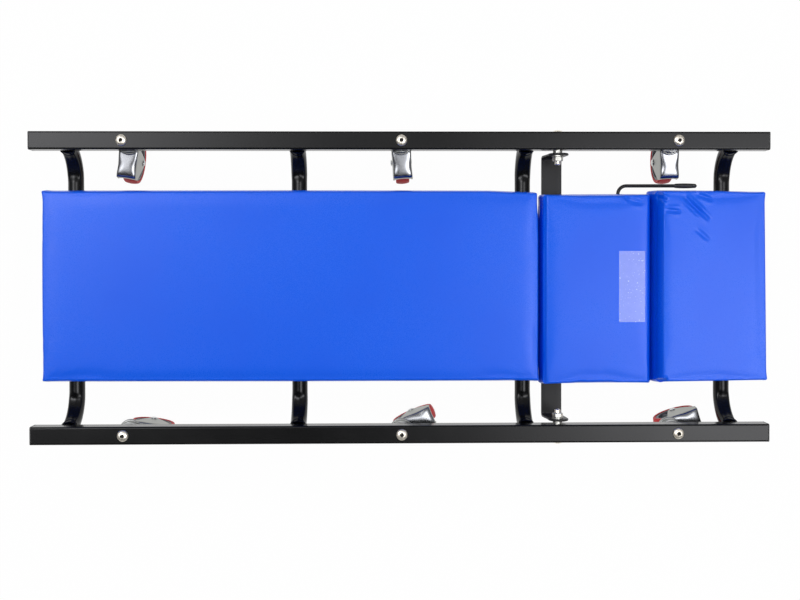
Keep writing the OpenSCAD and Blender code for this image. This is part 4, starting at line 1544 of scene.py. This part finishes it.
@dataclass
class Caster:
    """One swivel caster: a pressed fork, its riveted axle, the hub and the tread."""

    model: Model
    name: str
    half_width: float = 14.0 * MM
    sheet: float = 1.8 * MM
    leg_start: float = 5.0 * MM
    hood_flat: float = 12.0 * MM
    hood_tip: float = 49.5 * MM
    hood_fall: float = 0.07
    hood_power: float = 7.0
    lip_rise: float = 27.0 * MM
    lip_arch: float = 1.4 * MM
    leg_back_drop: float = 10.0 * MM
    shoulder: float = 6.5 * MM
    flat_power: float = 6.5
    waist_place: float = 0.52
    waist_spread: float = 0.22
    waist_narrowing: float = 0.7 * MM
    waist_rounding: float = 3.4
    rim: float = 0.35 * MM
    boss_rise: float = 10.0 * MM
    boss_radius: float = 16.0 * MM
    boss_foot: float = 2.6 * MM
    boss_roll: float = 1.4 * MM
    boss_flat: float = 8.6 * MM
    boss_bore: float = 4.1 * MM
    boss_cup: float = 12.5 * MM
    boss_lean: float = 2.2 * MM
    boss_polish: float = 0.42
    axle_boss: float = 6.5 * MM
    axle_radius: float = 3.0 * MM
    rivet_head: tuple[float, float] = (5.0 * MM, 2.0 * MM)
    rivet_peen: tuple[float, float] = (4.25 * MM, 1.5 * MM)
    tread_width: float = 19.0 * MM
    tread_thickness: float = 5.5 * MM
    tread_crown: float = 1.5 * MM
    tread_seam: float = 0.18 * MM
    tread_seam_width: float = 0.035
    tread_round: float = 0.5 * MM
    tread_inset: float = 0.2 * MM
    tread_fit: float = 0.05 * MM
    hub_half: float = 11.7 * MM
    hub_bore: float = 3.1 * MM
    hub_boss: float = 8.0 * MM
    hub_round: float = 0.6 * MM
    hub_rim: float = 4.0 * MM
    rim_half: float = 8.6 * MM
    rim_round: tuple[float, float] = (0.3 * MM, 0.4 * MM)
    web_half: float = 3.0 * MM
    rib_rise: float = 4.2 * MM
    rib_step: float = 0.8 * MM
    swivel: Grid = field(init=False)
    axle_height: float = field(init=False)
    hood_height: float = field(init=False)
    trail: float = field(init=False)
    heading: float = field(init=False)

    def __post_init__(self) -> None:
        """Reads the caster's place and heading off its two joints."""
        swivel = self.model.joints[self.name + "_swivel"]["pos_m"]
        spin = self.model.joints[self.name + "_spin"]["pos_m"]
        self.swivel = np.array([swivel[0], swivel[1], 0.0])
        self.axle_height = spin[2]
        self.hood_height = swivel[2]
        self.trail = math.hypot(spin[0] - swivel[0], spin[1] - swivel[1])
        self.heading = math.atan2(spin[1] - swivel[1], spin[0] - swivel[0])

    def build(self) -> None:
        """Makes the four pieces."""
        self._fork()
        self._axle()
        self._hub()
        self._tread()

    def _placed(self, points: Grid) -> Grid:
        """Turns a shape from the caster's own axes to its heading, and carries it to its place.

        Args:
            points: A shape about the swivel axis, with the wheel towards +X.

        Returns:
            The points in the model's own axes.
        """
        c, s = math.cos(self.heading), math.sin(self.heading)
        x, y, z = points[..., 0], points[..., 1], points[..., 2]
        return spots(x * c - y * s, x * s + y * c, z) + self.swivel

    def _on_axle(self, points: Grid) -> Grid:
        """Carries a shape made along +Z to the axle."""
        return self._placed(along_y(points) + (self.trail, 0.0, self.axle_height))

    def _roof(self) -> Grid:
        """The hood's middle line from the swivel axis to the lip.

        It is level, then z = H - k q - D (1 - (1 - u^n)^(1/n)), a gentle fall that ends in a tight bend. q
        is the distance past the level part, u its share of the way to the lip, and D what is left to fall.

        Returns:
            Pairs of distance from the swivel axis and height.
        """
        lip = self.axle_height + self.lip_rise
        span = self.hood_tip - self.hood_flat
        u = np.sin(np.linspace(0.0, np.pi / 2.0, 500)) ** 0.5
        left = self.hood_height - self.hood_fall * span - lip
        bend = (1.0 - (1.0 - u**self.hood_power).clip(0.0) ** (1.0 / self.hood_power))
        fall = self.hood_fall * span * u + left * bend
        line = np.vstack([[0.0, self.hood_height], spots(self.hood_flat + span * u, self.hood_height - fall)])
        return at_run(line, run_of(line)[-1] * (1.0 - (1.0 - np.linspace(0.0, 1.0, 46)) ** 1.35))

    def _leg_arc(self) -> Grid:
        """The round end of a leg, about the axle."""
        angle = np.radians(np.linspace(190.0, 340.0, 14))
        return (self.trail, self.axle_height) + self.axle_boss * spots(np.cos(angle), np.sin(angle))

    def _leg_line(self, share: Grid) -> Grid:
        """The lower outline from the swivel axis to the lip: skirt, back of the leg, its round end, its front.

        The stations keep even steps along the skirt and the leg's front, so that every section leans
        little.

        Args:
            share: Shares of the way along the outline.

        Returns:
            A pair of distance and height for each share.
        """
        skirt = self.hood_height - self.leg_back_drop
        tip = np.array([[self.hood_tip, self.axle_height + self.lip_rise]])
        start = np.array([[0.0, skirt], [self.leg_start, skirt]])
        outline = np.vstack([start, self._leg_arc(), tip])
        return at_run(outline, share * run_of(outline)[-1])

    def _half_hood(self, side: int) -> Grid:
        """Half of the straight part of the sheet, from the middle line out and down to the leg's edge.

        Across the hood the sheet follows a quarter of a superellipse of depth d: y = w cos(a)^(2/p) and
        depth = d (1 - sin(a)^(2/p)). p is large near the boss and the lip, where the top is flat, and
        small between them. Past the depth d the leg runs straight to the lower outline. The lip is
        drawn back in its middle by an arch.

        Args:
            side: 1 for the left half and -1 for the right.

        Returns:
            A grid of points, one section to a row.
        """
        roof = self._roof()
        run = run_of(roof)
        share = run / run[-1]
        low = self._leg_line(share)
        reach = np.linalg.norm(low - roof, axis=1)
        ahead = np.where(reach[:, None] > 1e-6, (low - roof) / np.maximum(reach, 1e-6)[:, None], (0.0, -1.0))
        waist = np.exp(-(((share - self.waist_place) / self.waist_spread) ** 2))
        width = self.half_width - self.waist_narrowing * waist
        power = self.flat_power - self.waist_rounding * waist
        out, down = self._section(power, np.minimum(self.shoulder, 0.92 * reach), reach)
        arch = self.lip_arch * ease(0.7, 1.0, share)[:, None] * (1.0 - out**2)
        x, z = (roof[:, k, None] + ahead[:, k, None] * down for k in range(2))
        return spots(x - arch, side * width[:, None] * out, z)

    @staticmethod
    def _section(power: Grid, depth: Grid, reach: Grid) -> tuple[Grid, Grid]:
        """The share across and the way down for each row: a round shoulder to a depth, then the leg to its reach.

        Args:
            power: How square the shoulder is, for each row.
            depth: The shoulder's depth.
            reach: The way down to the leg's edge.

        Returns:
            Two grids, the shares across and the ways down.
        """
        angle = np.linspace(np.pi / 2.0, 0.0, 21)
        exponent = (2.0 / power)[:, None]
        across = np.cos(angle)[None, :].clip(0.0) ** exponent
        fall = 1.0 - np.sin(angle)[None, :].clip(0.0) ** exponent
        leg = depth[:, None] + (reach - depth)[:, None] * np.linspace(0.0, 1.0, 13)[1:]
        return np.hstack([across, np.ones_like(leg)]), np.hstack([depth[:, None] * fall, leg])

    def _half_turn(self) -> Grid:
        """The hood's round back: the same section, carried half a turn about the swivel axis.

        Returns:
            A grid of points, one section to a row.
        """
        angle = np.linspace(np.pi / 2.0, 1.5 * np.pi, 33)[1:-1]
        even = np.ones(len(angle))
        out, down = self._section(self.flat_power * even, self.shoulder * even, self.leg_back_drop * even)
        radius = self.half_width * out
        return spots(radius * np.cos(angle)[:, None], radius * np.sin(angle)[:, None], self.hood_height - down)

    def _fork(self) -> None:
        """The pressed sheet from the lip round the back to the lip again, and the boss that it carries.

        The sheet is polished where it faces up, and dull where it stands steep.
        """
        grid = np.concatenate([self._half_hood(1)[::-1], self._half_turn(), self._half_hood(-1)])
        sheet = Skin().add(self._placed(grid)).mesh(self.name + "_fork_pressed", outward=False, sharp=48.0)
        mark(sheet, POLISH, ease(0.45, 0.8, np.abs(of_vertices(sheet, Reading.NORMAL)[:, 2])))
        node = self.name + "_fork"
        piece = self.model.add(sheet, FORK_PLATING, self.model.bodies[node], (node,))
        solid = piece.modifiers.new("Sheet", "SOLIDIFY")
        solid.thickness = self.sheet
        solid.offset = -1.0
        rim = piece.modifiers.new("Rim", "BEVEL")
        rim.width = self.rim
        rim.segments = 2
        rim.angle_limit = math.radians(50.0)
        boss = Skin().add(self._placed(turned(self._boss_profile(), 64)), closed_rows=True, closed_columns=True)
        housing = boss.mesh(self.name + "_boss")
        mark(housing, POLISH, self.boss_polish)
        self.model.add(housing, FORK_PLATING, self.model.bodies[node])

    def _boss_profile(self) -> Grid:
        """Radius and height round the bearing housing: bore, cup, foot with a rolled edge, and a domed top.

        Returns:
            Pairs of radius and height.
        """
        top = self.hood_height + self.boss_rise
        foot = self.hood_height + self.boss_foot
        low = self.hood_height - self.sheet
        roll = self.boss_roll
        angle = np.linspace(0.0, np.pi / 2.0, 6)
        rolled = spots(self.boss_radius - roll + roll * np.cos(angle), foot - roll + roll * np.sin(angle))
        flat, bore, cup = self.boss_flat, self.boss_bore, self.boss_cup
        wide, rise = self.boss_radius - self.boss_lean, top - foot
        dome = spots(flat + (wide - flat) * np.cos(angle), foot + rise * np.sin(angle))
        inner = spots([bore, bore, cup, cup, self.boss_radius], [top, self.hood_height, self.hood_height, low, low])
        return np.vstack([rolled, dome, inner])

    def _axle(self) -> None:
        """The rivet through both legs, with its head on one side and its peened end on the other."""
        half = self.half_width
        head = dome_profile(*self.rivet_head)[::-1] * (1.0, -1.0) + (0.0, -half)
        peen = dome_profile(*self.rivet_peen) + (0.0, half)
        shank = np.array([[self.axle_radius, -half], [self.axle_radius, half]])
        skin = Skin().add(self._on_axle(turned(np.vstack([head, shank, peen]), 40)), closed_columns=True)
        self.model.stand_in(skin, self.name + "_axle", "riveted", ZINC)

    def _hub(self) -> None:
        """A boss, a web with six ribs, and a rim. The web's face rises at each rib by a narrow cosine."""
        rim = self.axle_height - self.tread_thickness
        sides = 120
        rib = np.clip(np.cos(6.0 * full_turn(sides)), 0.0, 1.0) ** 6
        web = self.web_half + self.rib_rise * rib
        bore, boss, inner = self.hub_bore, self.hub_boss, rim - self.hub_rim
        half, small, large = self.rim_half, *self.rim_round
        face = [(bore, self.hub_half), (boss - self.hub_round, self.hub_half), (boss, self.hub_half - self.hub_round)]
        rim_face = [(inner, half - small), (inner + large, half), (rim - small, half), (rim, half - large)]
        rows = [np.full((sides, 2), pair) for pair in face]
        rows += [spots(radius, web) for radius in (boss, boss + self.rib_step, inner - self.rib_step, inner)]
        rows += [np.full((sides, 2), pair) for pair in rim_face]
        near = np.array(rows)
        far = near[::-1] * (1.0, -1.0)
        skin = Skin().add(self._on_axle(turned(np.vstack([near, far]), sides)), True, True)
        self.model.stand_in(skin, self.name + "_hub", "ribbed", GREY_HUB)

    def _tread(self) -> None:
        """A crowned tyre: r = R - c s^2 across its width, with a fine moulding line round the middle."""
        half = self.tread_width / 2.0
        share = np.linspace(-1.0, 1.0, 33)
        seam = self.tread_seam * np.exp(-((share / self.tread_seam_width) ** 2))
        radius = self.axle_height - self.tread_seam - self.tread_crown * share**2 + seam
        rolled = self.tread_round * ease(0.9, 1.0, np.abs(share))
        outer = spots(radius - rolled, share * half)
        inner, edge = self.axle_height - self.tread_thickness + self.tread_fit, half - self.tread_inset
        profile = np.vstack([outer, [[inner, edge], [inner, -edge]]])
        skin = Skin().add(self._on_axle(turned(profile, 96)), True, True)
        self.model.stand_in(skin, self.name + "_tread", "crowned", RED_TREAD)


# Studio


@dataclass(frozen=True)
class Lamp:
    """One square softbox that faces a point. Reflections show the world's patches instead of it."""

    name: str
    place: Point
    aim: Point
    size: float
    power: float

    def build(self) -> None:
        """Hangs the lamp up."""
        data = bpy.data.lights.new(self.name, "AREA")
        data.size = self.size
        data.energy = self.power
        lamp = bpy.data.objects.new(self.name, data)
        lamp.visible_glossy = False
        lamp.location = self.place
        lamp.rotation_euler = (Vector(self.aim) - Vector(self.place)).to_track_quat("-Z", "Y").to_euler()
        bpy.context.scene.collection.objects.link(lamp)


@dataclass(frozen=True)
class Patch:
    """A soft bright patch of the ceiling, where reflections see it."""

    x: float
    y: float
    width: float
    strength: float

    def glow(self, board: ShaderBoard, x: Wire, y: Wire) -> Wire:
        """Its light is k exp(-((x - a)^2 + (y - b)^2) / w^2).

        Args:
            board: The world's nodes.
            x: The direction's part along X.
            y: The direction's part along Y.

        Returns:
            The light.
        """
        away = (x - self.x) * (x - self.x) + (y - self.y) * (y - self.y)
        return board.math("EXPONENT", away * (-1.0 / self.width**2)) * self.strength


@dataclass
class Studio:
    """The floor, the lamps, the surroundings and the camera."""

    camera_place: Point = (-0.02997, 0.04258, 1.56368)
    camera_tilt: Point = (-0.01435, -0.01919, -0.00141)
    focal_pixels: float = 1048.2
    axis_row: float = 271.9
    picture: tuple[int, int] = (800, 600)
    white_share: float = 0.978
    floor_reach: float = 6.0
    paper: Colour = (0.88, 0.88, 0.88)
    ambient: Colour = (0.45, 0.45, 0.46)
    wall_shine: float = 0.32
    room_glow: tuple[float, float] = (0.05, 0.42)
    glow_edge: tuple[float, float] = (-0.16, 0.06)
    ceiling_edge: tuple[float, float] = (0.25, 0.65)
    blue_gain: float = 1.03
    patches: tuple[Patch, ...] = (
        Patch(-0.38, 0.18, 0.21, 9.0), Patch(0.35, -0.09, 0.19, 8.5), Patch(0.17, 0.0, 0.09, 1.6)
    )
    lamps: tuple[Lamp, ...] = (
        Lamp("left_softbox", (-1.55, 0.75, 2.1), (-0.1, 0.0, 0.1), 1.3, 16.0),
        Lamp("right_softbox", (1.4, -0.35, 2.1), (0.1, 0.0, 0.1), 1.1, 17.5),
        Lamp("top_softbox", (0.0, 1.6, 2.6), (0.0, 0.0, 0.1), 1.4, 14.0),
    )

    def build(self) -> None:
        """Sets up everything around the creeper."""
        self._camera()
        self._floor()
        self._surroundings()
        for lamp in self.lamps:
            lamp.build()
        bpy.context.scene.view_settings.view_transform = "Standard"

    def _camera(self) -> None:
        """The photograph's viewpoint: nearly straight down, with the lens axis above the picture's middle."""
        data = bpy.data.cameras.new("photo_camera")
        data.sensor_width = 36.0
        data.lens = self.focal_pixels * data.sensor_width / self.picture[0]
        data.shift_y = -(self.picture[1] / 2.0 - self.axis_row) / self.picture[0]
        data.clip_end = 20.0
        camera = bpy.data.objects.new("photo_camera", data)
        camera.location = self.camera_place
        camera.rotation_euler = self.camera_tilt
        bpy.context.scene.collection.objects.link(camera)
        bpy.context.scene.camera = camera

    @staticmethod
    def _rays(board: ShaderBoard, *kinds: str) -> Wire:
        """1 for rays of these kinds, and 0 for others.

        Args:
            board: The nodes to add to.
            kinds: The kinds, by Blender's names.

        Returns:
            The mask.
        """
        path = board.node("ShaderNodeLightPath")
        seen = [Wire(board, path.outputs[kind]) for kind in kinds]
        return reduce(lambda first, second: board.math("MAXIMUM", first, second), seen)

    def _floor(self) -> None:
        """A wide white floor that still takes the creeper's shadow."""
        mesh = bpy.data.meshes.new("floor")
        corners = np.array([(-1, -1, 0), (1, -1, 0), (1, 1, 0), (-1, 1, 0)]) * self.floor_reach
        mesh.from_pydata(corners.tolist(), [], [(0, 1, 2, 3)])
        floor = bpy.data.objects.new("floor", mesh)
        bpy.context.scene.collection.objects.link(floor)
        made = bpy.data.materials.new("floor_white")
        made.use_nodes = True
        board = ShaderBoard(made.node_tree)
        white = (1.0, 1.0, 1.0, 1.0)
        glow = board.out("ShaderNodeEmission", {"Color": white, "Strength": 1.0})
        paper = board.out("ShaderNodeBsdfDiffuse", {"Color": (*self.paper, 1.0)})
        share = self._rays(board, "Is Camera Ray", "Is Glossy Ray", "Is Transmission Ray") * self.white_share
        board.end(board.out("ShaderNodeMixShader", {0: share, 1: paper, 2: glow}))
        mesh.materials.append(made)

    def _surroundings(self) -> None:
        """White behind the creeper for the camera. Reflections see bright patches on a ceiling over dim walls."""
        world = bpy.data.worlds.new("studio")
        world.use_nodes = True
        bpy.context.scene.world = world
        board = ShaderBoard(world.node_tree)
        camera = self._rays(board, "Is Camera Ray")
        mirror = self._rays(board, "Is Glossy Ray", "Is Transmission Ray")
        direction = board.out("ShaderNodeTexCoord", output="Generated")
        axes = board.node("ShaderNodeSeparateXYZ", {0: direction})
        x, y, height = (Wire(board, output) for output in axes.outputs)
        least, more = self.room_glow
        glow = y.rise(*self.glow_edge) * more + least
        for patch in self.patches:
            glow = glow + patch.glow(board, x, y)
        ceiling = height.rise(*self.ceiling_edge)
        shine = glow * ceiling + (1.0 - ceiling) * self.wall_shine
        grey = board.out("ShaderNodeCombineXYZ", {0: shine, 1: shine, 2: shine * self.blue_gain})
        ambient = board.mix(mirror, self.ambient, grey)
        colour = board.mix(camera, ambient, (1.0, 1.0, 1.0))
        sky = board.out("ShaderNodeBackground", {"Color": colour, "Strength": 1.0})
        board.end(sky, "ShaderNodeOutputWorld")


def cushions(model: Model) -> None:
    """The main cushion, the low cushion with its film, and the pillow.

    Args:
        model: The loaded model.
    """
    main = Cushion(
        model, "main_cushion", cell=4.6 * MM, edge=4.6 * MM, swell=6.0 * MM, side_swell=0.6 * MM, fill=0.7,
        outline=Outline(
            foot=((-1.0, -0.8), (-0.88, -0.9), (-0.5, -0.4), (0.0, -0.3), (0.6, -0.5), (0.88, -1.5), (1.0, -0.9)),
            head=((-1.0, 1.7), (-0.9, 1.9), (0.7, 1.9), (0.88, 0.2), (1.0, -1.0)),
            right=((-1.0, -4.0), (-0.95, -3.3), (0.0, -2.3), (1.0, -2.3)),
            left=((-1.0, 1.0), (0.0, 1.5), (0.8, 0.9), (0.96, -1.2), (1.0, -2.4)),
            points=(1.2, 1.3, 1.2, 1.2),
        ),
    )
    main.build()
    low = Cushion(
        model, "neck_cushion", cell=3.6 * MM, edge=5.0 * MM, swell=6.0 * MM, side_swell=0.6 * MM, fill=0.7,
        outline=Outline(
            foot=((-1.0, 4.1), (-0.9, 4.5), (0.7, 4.9), (0.9, 3.9), (1.0, 3.3)),
            head=((-1.0, 2.2), (1.0, 2.2)),
            right=((-1.0, 2.3), (0.0, 1.5), (1.0, 1.2)),
            left=((-1.0, 1.0), (0.0, 1.9), (1.0, 1.9)),
            points=(1.2, 1.6, 1.0, 1.0),
        ),
        slope=(6.0 * MM, 4.0 * MM, 1.8 * MM),
        head_slope=(10.0 * MM, 10.0 * MM, 3.2 * MM),
        creases=(Crease((0.310, 0.1285), (0.317, 0.1225), 2.2 * MM, 1.2 * MM),
                 Crease((0.322, 0.120), (0.335, 0.1175), 3.0 * MM, 0.9 * MM)),
    )
    Film(model).build(low.build())
    pillow = Cushion(
        model, "pillow_cushion", cell=2.8 * MM, edge=5.5 * MM, swell=6.0 * MM, side_swell=0.6 * MM, fill=0.8,
        outline=Outline(
            foot=((-1.0, 2.0), (0.8, 2.0), (0.93, 4.0), (1.0, 5.5)),
            head=((-1.0, 2.4), (0.0, 0.8), (1.0, -1.0)),
            right=((-1.0, 4.0), (-0.8, 2.6), (0.0, 2.0), (0.8, 1.0), (1.0, -0.6)),
            left=((-1.0, 1.0), (0.0, 1.2), (1.0, -1.2)),
            points=(1.6, 1.8, 1.8, 1.8),
        ),
        slope=(9.0 * MM, 14.5 * MM, 3.4 * MM),
        creases=(
            Crease((0.3475, 0.1315), (0.3648, 0.1207), 2.0 * MM, 3.4 * MM),
            Crease((0.3545, 0.1154), (0.3648, 0.1207), 1.6 * MM, 1.6 * MM),
            Crease((0.3525, -0.1310), (0.3655, -0.1300), 2.4 * MM, 8.0 * MM),
            Crease((0.3932, 0.1237), (0.4144, 0.1025), 2.6 * MM, 1.5 * MM),
            Crease((0.4007, 0.1163), (0.4240, 0.0940), 2.4 * MM, 0.8 * MM),
            Crease((0.3669, 0.1064), (0.3838, 0.1051), 2.6 * MM, 1.0 * MM),
            Crease((0.4092, 0.0791), (0.4240, 0.0663), 2.8 * MM, 0.6 * MM),
            Crease((0.4112, 0.1281), (0.4281, 0.1217), 2.6 * MM, 1.1 * MM),
        ),
    )
    pillow.build()


def main() -> None:
    """Builds the creeper's looks in order."""
    logging.basicConfig(level=logging.INFO, format="%(name)s: %(message)s")
    model = Model.load()
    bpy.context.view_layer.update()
    Studio().build()
    Frame(model).build()
    CrossTubes(model).build()
    Hinge(model).build()
    Prop(model).build()
    for place in ("foot", "middle", "head"):
        for side in ("left", "right"):
            Caster(model, f"{place}_{side}").build()
    cushions(model)
    for board in ("main_board", "head_board"):
        Hem(model, board).build()
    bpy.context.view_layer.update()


if __name__ == "__main__":
    main()
